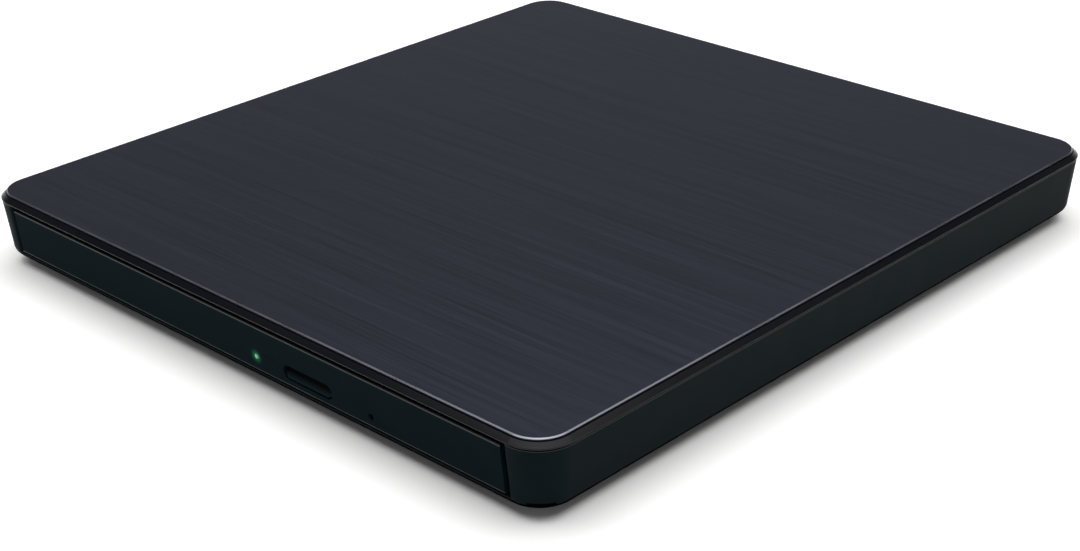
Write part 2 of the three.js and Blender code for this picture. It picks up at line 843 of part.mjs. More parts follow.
// Metal shell around a contact tongue, open to the back
function usbSocket() {
  const top = usbBottom + usbHeight;
  const back = halfDepth - wallInset;
  const front = back - usbDepth;
  const shell = box(usbX - usbWidth / 2, usbX + usbWidth / 2, front, back, usbBottom, top);
  const inner = box(usbX - usbWidth / 2 + usbShell, usbX + usbWidth / 2 - usbShell, front + usbBackWall,
    back + overrun, usbBottom + usbShell, top - usbShell);
  const middle = (usbBottom + top) / 2;
  const tongue = box(usbX - usbTongueWidth / 2, usbX + usbTongueWidth / 2, front + usbBackWall / 2,
    back - usbBackWall, middle - usbTongueHeight / 2, middle + usbTongueHeight / 2);
  return join(cut(shell, inner), tongue);
}

// Plug on the bridge board that reaches through the chassis into the drive's socket
function dataPlug() {
  const front = driveRearY + dataPlugGap;
  const body = box(dataSocketLeftX, dataSocketRightX, front, front + dataPlugDepth, usbBottom,
    dataSocketTop);
  const tongueSide = dataSocketWall + restGap;
  const tongue = box(dataSocketLeftX + tongueSide, dataSocketRightX - tongueSide, front - dataTongueReach,
    front + snugGap, dataMiddle - dataTongueHeight / 2, dataMiddle + dataTongueHeight / 2);
  return join(body, tongue);
}

function dataSocket() {
  const body = box(dataSocketLeftX, dataSocketRightX, dataSocketFrontY, dataSocketRearY, dataSocketBottom,
    dataSocketTop);
  const mouthFront = driveRearY + dataPlugGap - dataTongueReach - restGap;
  const mouth = box(dataSocketLeftX + dataSocketWall, dataSocketRightX - dataSocketWall, mouthFront,
    dataSocketRearY + overrun, dataMiddle - dataTongueHeight, dataMiddle + dataTongueHeight);
  return cut(body, mouth);
}

// Pressed steel pan with upright sides and a window for the data plug at the back
function driveBase() {
  const shell = prism(roundRect(-driveHalf, driveHalf, driveFrontY, driveRearY, driveCornerRadius),
    driveBottom, baseWallTop);
  const hollow = box(-innerHalf, innerHalf, driveFrontY - overrun, driveRearY - driveWall, baseFloor,
    baseWallTop + overrun);
  const rearWindow = box(dataSocketLeftX - rearWindowMargin, dataSocketRightX + rearWindowMargin, 0,
    driveRearY + overrun, dataSocketBottom - restGap, dataSocketTop + restGap);
  const screwHoles = [-footX, footX].map((x) => disk(x, driveScrewY, screwHoleRadius,
    driveBottom - overrun, baseFloor + overrun));
  const pinHole = disk(postX, postY, postPinRadius + restGap, driveBottom - overrun, baseFloor + overrun);
  return cut(shell, hollow, rearWindow, ...screwHoles, pinHole);
}

// Flat steel lid with a pressed ring and two short flanges that locate it between the pan's sides
function driveCover() {
  const plate = prism(roundRect(-driveHalf, driveHalf, driveFrontY, driveRearY, driveCornerRadius),
    driveCeiling, driveTop);
  const outer = disk(0, spindleY, coverEmbossRadius, driveTop - coverEmbossDepth, driveTop + overrun,
    wellSides);
  const inner = disk(0, spindleY, coverEmbossRadius - coverEmbossWidth, driveTop - overrun,
    driveTop + overrun, wellSides);
  const flanges = [-1, 1].map((side) => sideBox(side, guideOuter - coverFlangeThickness, guideOuter,
    guideFrontY, guideRearY, driveCeiling - coverFlangeDrop, driveCeiling + snugGap));
  return join(cut(plate, cut(outer, inner)), ...flanges);
}

// Plastic guide with a low lip that carries the steel rail, for the side given by its sign
function railGuide(side) {
  const web = sideBox(side, guideInner, guideOuter, guideFrontY, guideRearY, plateBottom, railTop);
  const lip = sideBox(side, guideOuter - guideLip, guideOuter, guideFrontY, guideRearY, plateBottom,
    plateBottom + guideLipThickness);
  return join(web, lip);
}

// Steel rail with the groove that the tray's tongue runs in
function rail(side) {
  const bar = sideBox(side, railInner, railOuter, guideFrontY, railRearY, railBottom, railTop);
  const groove = sideBox(side, railInner - overrun, railInner + railGroove, guideFrontY - overrun,
    railRearY + overrun, railMiddle - railGrooveHeight / 2, railMiddle + railGrooveHeight / 2);
  return cut(bar, groove);
}

function lockPost() {
  const foot = driveBottom + snugGap;
  const neck = baseFloor + restGap;
  return turned([
    [0, foot], [postPinRadius, foot], [postPinRadius, neck], [postRadius, neck],
    [postRadius, baseFloor + postHeight], [0, baseFloor + postHeight],
  ], smallSides);
}

function mainBoard() {
  const plate = box(-mainBoardHalfWidth, mainBoardHalfWidth, mainBoardFrontY, mainBoardRearY,
    mainBoardBottom, mainBoardTop);
  return join(plate, ...chipsOn(mainChipShares, 0, mainBoardHalfWidth, mainBoardFrontY, mainBoardDepth,
    mainBoardTop, mainChipHeight));
}

// Flat cable: from the board, forward along the chassis floor, round its bend and back under the tray
function flexCable() {
  const low = baseFloor + restGap / 2;
  const high = wellUnder - slideGap - flexThickness;
  const boardZ = mainBoardTop + restGap;
  const bendZ = (low + high + flexThickness) / 2;
  const outerBend = (high + flexThickness - low) / 2;
  const innerBend = outerBend - flexThickness;
  const edgeY = mainBoardFrontY - restGap;
  const rampY = edgeY - flexRampLength;
  const boardY = mainBoardFrontY + flexBoardReach;
  const rearY = flexBendY + flexLength;
  const points = [[boardY, boardZ], [edgeY, boardZ], [rampY, low]];
  for (let step = 0; step <= flexBendSteps; step += 1) {
    const angle = Math.PI * step / flexBendSteps;
    points.push([flexBendY - outerBend * Math.sin(angle), bendZ - outerBend * Math.cos(angle)]);
  }
  points.push([rearY, high + flexThickness], [rearY, high]);
  for (let step = flexBendSteps; step >= 0; step -= 1) {
    const angle = Math.PI * step / flexBendSteps;
    points.push([flexBendY - innerBend * Math.sin(angle), bendZ - innerBend * Math.cos(angle)]);
  }
  points.push([rampY + flexThickness, low + flexThickness]);
  points.push([edgeY, boardZ + flexThickness], [boardY, boardZ + flexThickness]);
  const strip = new THREE.ExtrudeGeometry(polygon(points), { depth: flexWidth, bevelEnabled: false });
  strip.rotateX(Math.PI / 2);
  strip.rotateZ(Math.PI / 2);
  strip.translate(flexLeftX, 0, 0);
  return solid(strip);
}

// World place of a point given along and across the pickup's travel
function traversePoint(u, v) {
  const angle = THREE.MathUtils.degToRad(traverseTurn);
  return {
    x: u * Math.cos(angle) - v * Math.sin(angle),
    y: spindleY + u * Math.sin(angle) + v * Math.cos(angle),
  };
}

function onTraverse(body) {
  const turn = new THREE.Matrix4().makeRotationZ(THREE.MathUtils.degToRad(traverseTurn));
  turn.setPosition(0, spindleY, 0);
  return body.transform(turn.elements);
}

// Outline of the cover in the well floor, grown by a margin
function traverseOutline(margin, z0, z1) {
  const ring = disk(0, 0, coverRingRadius + margin, z0, z1, roundSides);
  const strip = box(0, coverFrontU + margin, -coverHalfWidth - margin, coverHalfWidth + margin, z0, z1);
  return join(ring, strip);
}

function trayPlate() {
  const plate = prism(roundRect(-trayHalfWidth, trayHalfWidth, trayFront, trayRear, trayCornerRadius),
    trayPlateUnder, trayTop);
  const underside = box(-skirtOuter, skirtOuter, trayFront, trayRear, wellUnder, wellFloor);
  return join(plate, underside);
}

function traySkirts() {
  const sides = [-1, 1].flatMap((side) => [
    sideBox(side, skirtInner, skirtOuter, trayFront, trayRear, trayBottom, wellUnder + snugGap),
    sideBox(side, skirtInner, railInner + tongueWidth, guideFrontY, trayRear,
      railMiddle - tongueHeight / 2, railMiddle + tongueHeight / 2),
  ]);
  const front = box(-skirtOuter, skirtOuter, trayFront, trayFront + trayFrontWall, trayBottom,
    wellUnder + snugGap);
  return join(front, ...sides);
}

// Hanging parts of the tray: rubber mount posts, the lever's pin and the pusher's two ribs
function trayBosses() {
  const posts = damperPlaces.map(({ u, v }) => {
    const { x, y } = traversePoint(u, v);
    return disk(x, y, damperPostRadius, damperTop + slideGap, wellUnder + snugGap);
  });
  const pin = disk(leverX, leverY, leverPinRadius, trayBottom + restGap / 2, wellUnder + snugGap);
  const ribs = [pusherFrontRibY, pusherRearRibY].map((y) => box(pusherX - pusherRibWidth / 2,
    pusherX + pusherRibWidth / 2, y, y + pusherRibThickness, mainBoardTop + restGap, wellUnder + snugGap));
  return join(pin, ...posts, ...ribs);
}

function trayCuts() {
  const well = disk(0, spindleY, wellRadius, wellFloor, trayTop + overrun, wellSides);
  const smallWell = disk(0, spindleY, smallWellRadius, wellFloor - smallWellDepth, trayTop + overrun,
    wellSides);
  const notchOffset = wellRadius * fingerNotchShare * Math.SQRT1_2;
  const notches = [-1, 1].map((side) => disk(side * notchOffset, spindleY - notchOffset, fingerNotchRadius,
    wellFloor, trayTop + overrun, roundSides));
  const pocket = onTraverse(traverseOutline(restGap, wellUnder - overrun, wellFloor + coverDrop + snugGap));
  const holes = damperPlaces.map(({ u, v }) => {
    const { x, y } = traversePoint(u, v);
    return disk(x, y, screwHoleRadius, wellUnder - overrun, wellUnder + restGap);
  });
  const rod = barY(pusherX, pusherZ, pusherRodRadius + restGap, pusherFrontRibY - overrun,
    pusherRearRibY + overrun);
  const frontGaps = [
    box(slotMiddleX - switchWidth / 2 - restGap, slotMiddleX + switchWidth / 2 + restGap,
      trayFront - overrun, trayFront + overrun, trayBottom - overrun, wellUnder),
    barY(lightX, lightZ, lightRadius + restGap, trayFront - overrun, trayFront + overrun),
    barY(pinholeX, pinholeZ, pinholeRadius + restGap, trayFront - overrun, trayFront + overrun),
  ];
  const notchFront = dataSocketFrontY - restGap;
  const socketNotch = box(dataSocketLeftX - trayNotchMargin, dataSocketRightX + trayNotchMargin, notchFront,
    trayRear + overrun, trayBottom, trayTop + overrun);
  return [well, smallWell, ...notches, pocket, ...holes, rod, ...frontGaps, socketNotch];
}

function tray() {
  return cut(join(trayPlate(), traySkirts(), trayBosses()), ...trayCuts());
}

// Front bezel: a plate with chamfered long edges and a shallow tub behind it
function bezel() {
  const frontTop = -halfDepth + bezelTopInset;
  const frontBottom = -halfDepth + bezelBottomInset;
  const side = polygon([
    [frontBottom, bezelBottom + bezelEdge], [frontBottom + bezelEdge, bezelBottom],
    [bezelBackY, bezelBottom], [bezelBackY, bezelTop],
    [frontTop + bezelEdge, bezelTop], [frontTop, bezelTop - bezelEdge],
  ]);
  const bar = new THREE.ExtrudeGeometry(side, {
    depth: bezelHalfWidth + bezelHalfWidth,
    bevelEnabled: false,
  });
  bar.rotateX(Math.PI / 2);
  bar.rotateZ(Math.PI / 2);
  bar.translate(-bezelHalfWidth, 0, 0);
  const tub = box(-bezelHalfWidth + bezelWall, bezelHalfWidth - bezelWall, bezelPlateBack,
    bezelBackY + overrun, bezelBottom + bezelRim, bezelTop - bezelRim);
  const light = barY(lightX, lightZ, lightRadius + snugGap, -halfDepth - overrun, bezelBackY);
  const pinhole = barY(pinholeX, pinholeZ, pinholeRadius, -halfDepth - overrun, bezelBackY);
  return cut(solid(bar), tub, slotBar(0, -halfDepth - overrun, bezelBackY), light, pinhole);
}

// Bar along Y with the button slot's rounded section, drawn in by a margin
function slotBar(margin, y0, y1) {
  const radius = (slotTop - slotBottom) / 2 - margin;
  const section = roundRect(slotLeftX + margin, slotRightX - margin, slotBottom + margin, slotTop - margin,
    radius);
  const geometry = new THREE.ExtrudeGeometry(section, {
    depth: y1 - y0,
    bevelEnabled: false,
    curveSegments: cornerSteps,
  });
  geometry.rotateX(Math.PI / 2);
  geometry.translate(0, y1, 0);
  return solid(geometry);
}

// Button cap in the slot, with a retaining flange and a stem to the switch
function ejectButton() {
  const face = -halfDepth + bezelTopInset + buttonRecess + buttonGap;
  const flangeFront = bezelPlateBack + buttonFlangeGap;
  const height = (slotBottom + slotTop) / 2;
  const cap = slotBar(buttonGap, face, flangeFront + snugGap);
  const flange = box(slotLeftX - buttonFlange, slotRightX + buttonFlange, flangeFront,
    flangeFront + buttonFlangeThickness, slotBottom - buttonGap / 2, slotTop + buttonGap);
  const stem = box(slotMiddleX - buttonStemWidth / 2, slotMiddleX + buttonStemWidth / 2, flangeFront,
    trayFront + trayFrontWall, height - buttonStemHeight / 2, height + buttonStemHeight / 2);
  return join(cap, flange, stem);
}

function lightPipe() {
  const face = -halfDepth + (bezelTopInset + bezelBottomInset) / 2 + snugGap;
  return barY(lightX, lightZ, lightRadius, face, switchBoardFront + snugGap);
}

function switchBoard() {
  const plate = box(switchBoardLeftX, switchBoardLeftX + switchBoardLength, switchBoardFront,
    switchBoardFront + switchBoardDepth, trayBottom, switchBoardTop);
  const chipFront = switchBoardFront + slideGap;
  const chip = box(lightX - lightChipWidth / 2, lightX + lightChipWidth / 2, chipFront,
    chipFront + lightChipDepth, switchBoardTop - snugGap, switchBoardTop + lightChipHeight);
  return join(plate, chip);
}

function ejectSwitch() {
  const front = trayFront + trayFrontWall + buttonTravel + snugGap;
  const bottom = switchBoardTop + snugGap;
  const body = box(slotMiddleX - switchWidth / 2, slotMiddleX + switchWidth / 2, front + restGap,
    front + switchDepth, bottom, bottom + switchHeight);
  const height = (slotBottom + slotTop) / 2;
  const plunger = barY(slotMiddleX, height, buttonStemHeight / 2, front, front + switchDepth / 2);
  return join(body, plunger);
}

// Thin steel plate under the tray, open under the motor, the rubber mounts and the flex cable
function trayBottomPlate() {
  const outline = polygon([
    [-plateHalfWidth, plateFrontY], [leverX, plateFrontY], [leverX, plateRearY],
    [plateStepX, plateRearY], [plateStepX, plateStepY], [-plateHalfWidth, plateStepY],
  ]);
  const motorHole = disk(0, spindleY, motorPlateRadius + slideGap, plateBottom - overrun,
    plateTop + overrun, roundSides);
  const mountHoles = damperPlaces.map(({ u, v }) => {
    const { x, y } = traversePoint(u, v);
    return disk(x, y, damperScrewHeadRadius + slideGap, plateBottom - overrun, plateTop + overrun);
  });
  return cut(prism(outline, plateBottom, plateTop), motorHole, ...mountHoles);
}

// Lever about its own pivot, hook arm towards the front and tail towards the back, drawn locked
function lockLever() {
  const [bottom, top] = [leverBottom, leverTop];
  const hub = disk(0, 0, leverHubRadius, bottom, top, roundSides);
  const half = leverArmWidth / 2;
  const arm = box(-half, half, -leverArmLength, 0, bottom, top);
  const hook = box(-half, leverHookReach, -leverArmLength, -leverArmLength + leverHookWidth, bottom, top);
  const tail = box(-half, half, 0, leverTailLength + half, bottom, top);
  const bore = disk(0, 0, leverPinRadius + restGap, bottom - overrun, top + overrun);
  return cut(join(hub, arm, hook, tail), bore);
}

function plungerPlace() {
  const angle = THREE.MathUtils.degToRad(leverReleased);
  const tailX = leverX + leverTailLength * Math.sin(angle) - leverArmWidth / 2 / Math.cos(angle);
  return { y: leverY + leverTailLength * Math.cos(angle), tip: tailX - plungerTipGap };
}

function lockSolenoid() {
  const { y } = plungerPlace();
  const bottom = wellUnder - restGap - solenoidHeight;
  const coil = box(solenoidRightX - solenoidWidth, solenoidRightX, y - solenoidDepth / 2,
    y + solenoidDepth / 2, bottom, bottom + solenoidHeight);
  const bore = barX(y, leverTop, plungerRadius + restGap / 2, solenoidRightX - plungerBury - plungerStroke,
    solenoidRightX + overrun);
  return cut(coil, bore);
}

function lockPlunger() {
  const { y, tip } = plungerPlace();
  return barX(y, leverTop, plungerRadius, solenoidRightX - plungerBury, tip);
}

// Sprung rod with a collar, shown pushed in by the closed tray
function ejectPusher() {
  const rod = barY(pusherX, pusherZ, pusherRodRadius, pusherTipY - pusherLength, pusherTipY);
  const collar = barY(pusherX, pusherZ, pusherCollarRadius, pusherCollarY,
    pusherCollarY + pusherCollarThickness, roundSides);
  return join(rod, collar);
}

class CoilCurve extends THREE.Curve {
  constructor(radius, length, turns) {
    super();
    this.radius = radius;
    this.length = length;
    this.turns = turns;
  }

  getPoint(t, target = new THREE.Vector3()) {
    const angle = 2 * Math.PI * this.turns * t;
    return target.set(this.radius * Math.cos(angle), this.length * t, this.radius * Math.sin(angle));
  }
}

function ejectSpring() {
  const start = pusherFrontRibY + pusherRibThickness + springWire + restGap;
  const end = pusherCollarY - springWire - restGap;
  const points = [];
  for (let i = 0; i < springWireSides; i += 1) {
    const angle = 2 * Math.PI * i / springWireSides;
    const x = springWire * Math.cos(angle);
    const y = springWire * Math.sin(angle);
    points.push([x, y]);
  }
  const section = polygon(points);
  const geometry = new THREE.ExtrudeGeometry(section, {
    steps: springTurns * springTurnSteps,
    bevelEnabled: false,
    extrudePath: new CoilCurve(springRadius, end - start, springTurns),
  });
  geometry.translate(pusherX, start, pusherZ);
  return solid(geometry);
}

// Stamped frame of the traverse in its own axes: u along the pickup's travel, v across it
function traverseFrame() {
  const outline = polygon([
    [frameBackU, -frameHalfWidth], [frameTaperU, -frameHalfWidth], [frameFrontU, -frameFrontHalfWidth],
    [frameFrontU, frameFrontHalfWidth], [frameTaperU, frameHalfWidth], [frameBackU, frameHalfWidth],
  ]);
  const sheet = prism(outline, frameBottom, frameTop);
  const motorOpening = disk(0, 0, rotorRadius + frameMotorAir, frameBottom - overrun, frameTop + overrun,
    roundSides);
  const window = box(rodHolderU + rodHolderDepth, frameWindowFrontU, -frameWindowHalfWidth,
    frameWindowHalfWidth, frameBottom - overrun, frameTop + overrun);
  const sledNotch = box(sledFrontU - sledLength - restGap, sledFrontU + restGap,
    screwV - sledHalfWidth - restGap, frameHalfWidth + overrun, frameBottom - overrun, frameTop + overrun);
  const slotHalf = leadRadius + slideGap;
  const screwSlot = box(sledFrontU, leadTabU - slideGap, screwV - slotHalf, screwV + slotHalf,
    frameBottom - overrun, frameTop + overrun);
  const mounts = damperPlaces.map(({ u, v }) => disk(u, v, damperHoleRadius, frameBottom - overrun,
    frameTop + overrun));
  return cut(join(cut(sheet, motorOpening, window, sledNotch, screwSlot, ...mounts), frameHolders()),
    ...frameBores());
}

// Upstands of the frame that hold the rods and the far end of the lead screw
function frameHolders() {
  const end = box(frameWindowFrontU, frameWindowFrontU + frameEndWall, -rodV - rodHolderDepth,
    rodV + rodHolderDepth, frameBottom, rodHolderTop);
  const inner = rodV - rodHolderHalf;
  const outer = frameWindowHalfWidth + rodHolderDepth;
  const backMain = box(rodHolderU, rodHolderU + rodHolderDepth, -outer, -inner, frameBottom, rodHolderTop);
  const subOuter = screwV - sledHalfWidth - restGap - restGap;
  const backSub = box(rodHolderU, rodHolderU + rodHolderDepth, inner, subOuter, frameBottom, rodHolderTop);
  const tab = box(leadTabU, leadTabU + leadTabThickness, screwV - leadTabHalf, screwV + leadTabHalf,
    screwZ - leadTabHalf, screwZ + leadTabHalf);
  return join(end, backMain, backSub, tab);
}

function frameBores() {
  const rods = [-1, 1].map((side) => barX(side * rodV, rodZ, rodRadius + rodCarriageGap,
    rodHolderU + rodEndWall, frameWindowFrontU + frameEndWall - rodEndWall));
  const screwBore = barX(screwV, screwZ, leadRadius + restGap, sledFrontU,
    leadTabU + leadTabThickness - leadTabWall);
  return [...rods, screwBore];
}

// Plate of the traverse that shows in the well, with the pickup's window
function traverseCover() {
  const low = traverseCoverBottom - overrun;
  const high = traverseCoverTop + overrun;
  const hole = disk(0, 0, rotorRadius + rotorAir, low, high, roundSides);
  const window = box(coverWindowBackU, coverWindowFrontU, -coverWindowHalfWidth, coverWindowHalfWidth,
    low, high);
  return cut(traverseOutline(0, traverseCoverBottom, traverseCoverTop), hole, window);
}

function spindleBase() {
  const plate = disk(0, 0, motorPlateRadius, motorPlateBottom, motorPlateTop, roundSides);
  const top = rotorUnder - slideGap;
  const tube = cut(disk(0, 0, bearingRadius, motorPlateTop - snugGap, top, roundSides),
    disk(0, 0, bearingBore, motorPlateTop, top + overrun, roundSides));
  return join(plate, tube);
}

// Laminated stator with its wound poles
function stator() {
  const bottom = motorPlateTop + statorLift;
  const top = bottom + statorHeight;
  const bore = disk(0, 0, statorInner, bottom - overrun, top + overrun, roundSides);
  const limit = disk(0, 0, statorOuter, bottom, top, roundSides);
  let body = disk(0, 0, statorHub, bottom, top, roundSides);
  for (let i = 0; i < statorPoles; i += 1) {
    const arm = box(0, statorOuter - statorShoe / 2, -statorPoleWidth / 2, statorPoleWidth / 2, bottom, top);
    const shoe = box(statorOuter - statorShoe, statorOuter, -statorShoeWidth / 2, statorShoeWidth / 2,
      bottom, top);
    const pole = join(arm, shoe).intersect(limit);
    body = join(body, pole.rotate([0, 0, 360 * i / statorPoles]));
  }
  return cut(body, bore);
}

// Rotor cup with its shaft and the centring hub, slotted for the claws
function turntable() {
  const skirtInside = rotorRadius - rotorWall;
  const skirtBottom = motorPlateTop + slideGap;
  const shaftBottom = motorPlateTop + shaftLift;
  const body = turned([
    [0, shaftBottom], [shaftRadius, shaftBottom], [shaftRadius, rotorUnder], [skirtInside, rotorUnder],
    [skirtInside, skirtBottom], [rotorRadius, skirtBottom], [rotorRadius, rotorTop],
    [hubRadius, rotorTop], [hubRadius, rotorTop + hubShoulder], [hubTopRadius, rotorTop + hubHeight],
    [0, rotorTop + hubHeight],
  ]);
  const slot = box(clawSlotInner, hubRadius + overrun, -clawWidth / 2 - clawSide, clawWidth / 2 + clawSide,
    rotorTop + clawLift - restGap, rotorTop + hubHeight + overrun);
  const slots = [];
  for (let i = 0; i < clawCount; i += 1) {
    slots.push(slot.rotate([0, 0, 360 * i / clawCount]));
  }
  return cut(body, ...slots);
}

function turntablePad() {
  const top = padBottom + padThickness;
  return cut(disk(0, 0, padOuter, padBottom, top, roundSides),
    disk(0, 0, padInner, padBottom - overrun, top + overrun, roundSides));
}

// Claw with a rounded nose, pointing along +X of its own group
function discClaw() {
  const bottom = rotorTop + clawLift;
  const nose = hubRadius + clawReach;
  const shape = polygon([
    [clawInner, bottom], [hubRadius, bottom],
    [nose, bottom + clawHeight / 3], [nose, bottom + clawHeight / 2],
    [hubRadius - clawReach, bottom + clawHeight], [clawInner, bottom + clawHeight],
  ]);
  const geometry = new THREE.ExtrudeGeometry(shape, { depth: clawWidth, bevelEnabled: false });
  geometry.rotateX(Math.PI / 2);
  geometry.translate(0, clawWidth / 2, 0);
  return solid(geometry);
}

function guideRod() {
  const seat = rodEndWall + restGap;
  return barX(0, 0, rodRadius, rodHolderU + seat, frameWindowFrontU + frameEndWall - seat);
}

// Carriage about the lens, with its rod bores, the pocket for the lens holder and the nut's arm
function pickupCarriage() {
  const shape = roundRect(-carriageBack, carriageFront, -carriageHalfWidth, carriageHalfWidth,
    carriageCornerRadius);
  const body = prism(shape, frameBottom, carriageTop);
  const bores = [-1, 1].map((side) => barX(side * rodV, rodZ, rodRadius + rodCarriageGap,
    -carriageBack - overrun, carriageFront + overrun));
  const pocketHalf = holderHalfWidth + pocketAir;
  const pocket = box(-holderBack - pocketAir, holderFront + pocketAir, -pocketHalf, pocketHalf,
    frameBottom + pocketFloor, carriageTop + overrun);
  const nut = box(-carriageBack, -carriageBack + nutLength, carriageHalfWidth - snugGap,
    screwV - leadRadius - restGap, nutBottom, nutTop);
  return cut(join(body, nut), ...bores, pocket);
}

function lensHolder() {
  const shape = roundRect(-holderBack, holderFront, -holderHalfWidth, holderHalfWidth,
    carriageCornerRadius);
  const holes = [
    disk(0, lensOffset, lensBlueRadius + lensGap, holderTop - lensDepth - lensGap, holderTop + overrun),
    disk(0, -lensOffset, lensRedRadius + lensGap, holderTop - lensDepth - lensGap, holderTop + overrun),
  ];
  return cut(prism(shape, holderBottom, holderTop), ...holes);
}

function objectiveLens(radius) {
  const low = holderTop - lensDepth;
  return turned([
    [0, low], [radius, low], [radius, holderTop],
    [radius * Math.SQRT1_2, holderTop + lensDome * Math.SQRT1_2], [0, holderTop + lensDome],
  ], smallSides);
}

function leadScrew() {
  const end = leadTabU + leadTabThickness - leadTabWall - restGap;
  return barX(0, 0, leadRadius, sledFrontU - leadBury, end);
}

function sledMotor() {
  const shape = roundRect(screwV - sledHalfWidth, screwV + sledHalfWidth, sledBottom, sledTop,
    sledCornerRadius);
  const body = new THREE.ExtrudeGeometry(shape, {
    depth: sledLength,
    bevelEnabled: false,
    curveSegments: cornerSteps,
  });
  body.rotateX(Math.PI / 2);
  body.rotateZ(Math.PI / 2);
  body.translate(sledFrontU - sledLength, 0, 0);
  const bore = barX(screwV, screwZ, leadRadius + restGap, sledFrontU - leadBury - restGap,
    sledFrontU + overrun);
  return cut(solid(body), bore);
}

function damper() {
  const waistLow = damperBottom + damperFlangeThickness;
  const waistHigh = damperTop - damperFlangeThickness;
  return turned([
    [screwHoleRadius, damperBottom], [damperFlange, damperBottom], [damperFlange, waistLow],
    [damperWaist, waistLow], [damperWaist, waistHigh], [damperFlange, waistHigh],
    [damperFlange, damperTop], [screwHoleRadius, damperTop], [screwHoleRadius, damperBottom],
  ], smallSides);
}

// Fixed enclosure
function enclosure() {
  const group = new THREE.Group();
  piece(group, "top_panel", topPanel(), darkAluminium());
  piece(group, "top_cover", topCover(), blackGloss());
  piece(group, "bottom_case", bottomCase(), blackPlastic());
  [[-1, -1], [1, -1], [-1, 1], [1, 1]].forEach(([sx, sy], i) => {
    piece(group, `rubber_foot_${i + 1}`, rubberFoot(), rubber(), [sx * footX, sy * footY, 0]);
  });
  const headZ = footHeight + snugGap;
  [["left", -footX], ["right", footX]].forEach(([side, x]) => {
    piece(group, `case_screw_${side}`, screw(screwHeadRadius, caseScrewHead, screwShankRadius,
      caseScrewLength), darkSteel(), [x, caseScrewY, headZ]);
    piece(group, `drive_screw_${side}`, screw(screwHeadRadius, driveScrewHead, screwShankRadius,
      driveScrewLength), darkSteel(), [x, driveScrewY, headZ]);
  });
  piece(group, "bridge_board", bridgeBoard(), board());
  piece(group, "usb_socket", usbSocket(), steel());
  piece(group, "sata_plug", dataPlug(), rubber());
  return group;
}

// Fixed parts of the drive, with the rails
function chassis() {
  const group = new THREE.Group();
  piece(group, "drive_base", driveBase(), steel());
  piece(group, "drive_cover", driveCover(), steel());
  piece(group, "rail_guide_left", railGuide(-1), rubber());
  piece(group, "rail_guide_right", railGuide(1), rubber());
  piece(group, "rail_left", rail(-1), steel());
  piece(group, "rail_right", rail(1), steel());
  piece(group, "lock_post", lockPost(), darkSteel(), [postX, postY, 0]);
  piece(group, "main_board", mainBoard(), board());
  piece(group, "sata_socket", dataSocket(), rubber());
  piece(group, "flex_cable", flexCable(), amber());
  return group;
}

// Tray with all that rides on it, apart from the traverse
function trayUnit() {
  const group = new THREE.Group();
  piece(group, "tray", tray(), trayPlastic());
  piece(group, "bezel", bezel(), blackPlastic());
  piece(group, "eject_button", ejectButton(), blackPlastic());
  piece(group, "led_light_pipe", lightPipe(), finish(0x4fd89a, 0.2, 0));
  piece(group, "switch_board", switchBoard(), board());
  piece(group, "eject_switch", ejectSwitch(), darkSteel());
  piece(group, "tray_bottom_plate", trayBottomPlate(), steel());
  const lever = piece(group, "lock_lever", lockLever(), trayPlastic(), [leverX, leverY, 0]);
  lever.rotation.z = -THREE.MathUtils.degToRad(leverReleased);
  piece(group, "lock_solenoid", lockSolenoid(), copper());
  piece(group, "lock_plunger", lockPlunger(), steel());
  piece(group, "eject_pusher", ejectPusher(), steel());
  piece(group, "eject_spring", ejectSpring(), steel());
  return group;
}

function pickup() {
  const group = new THREE.Group();
  group.position.x = lensStartU;
  piece(group, "pickup_carriage", pickupCarriage(), darkSteel());
  piece(group, "lens_holder", lensHolder(), trayPlastic());
  piece(group, "objective_lens_blue", objectiveLens(lensBlueRadius), glass(), [0, lensOffset, 0]);
  piece(group, "objective_lens_red", objectiveLens(lensRedRadius), glass(), [0, -lensOffset, 0]);
  return group;
}

function spindle() {
  const group = new THREE.Group();
  piece(group, "spindle_base", spindleBase(), darkSteel());
  piece(group, "stator", stator(), copper());
  piece(group, "turntable", turntable(), steel());
  piece(group, "turntable_pad", turntablePad(), rubber());
  for (let i = 0; i < clawCount; i += 1) {
    const claw = piece(group, `disc_claw_${i + 1}`, discClaw(), blackPlastic());
    claw.rotation.z = THREE.MathUtils.degToRad(360 * i / clawCount);
  }
  return group;
}

function traverse() {
  const group = new THREE.Group();
  group.position.set(0, spindleY, 0);
  group.rotation.z = THREE.MathUtils.degToRad(traverseTurn);
  piece(group, "traverse_frame", traverseFrame(), darkSteel());
  piece(group, "traverse_cover", traverseCover(), blackPlastic());
  piece(group, "guide_rod_main", guideRod(), steel(), [0, -rodV, rodZ]);
  piece(group, "guide_rod_sub", guideRod(), steel(), [0, rodV, rodZ]);
  piece(group, "lead_screw", leadScrew(), steel(), [0, screwV, screwZ]);
  piece(group, "sled_motor", sledMotor(), darkSteel());
  damperPlaces.forEach(({ u, v }, i) => {
    piece(group, `damper_${i + 1}`, damper(), rubber(), [u, v, 0]);
    piece(group, `damper_screw_${i + 1}`, screw(damperScrewHeadRadius, damperScrewHead, screwShankRadius,
      wellUnder - plateBottom), steel(), [u, v, plateBottom]);
  });
  group.add(spindle(), pickup());
  return group;
}

const burner = new THREE.Group();
const drive = new THREE.Group();
drive.add(chassis(), trayUnit(), traverse());
burner.add(enclosure(), drive);

export default burner;
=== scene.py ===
"""Slim external disc writer: the looks of its case, bezel, tray and drive, and a plain studio.

Blender works in metres. Lengths are written in millimetres and made metres by mm() or MM.
X runs across the front, Y to the back and Z up. The front face looks along -Y.
"""

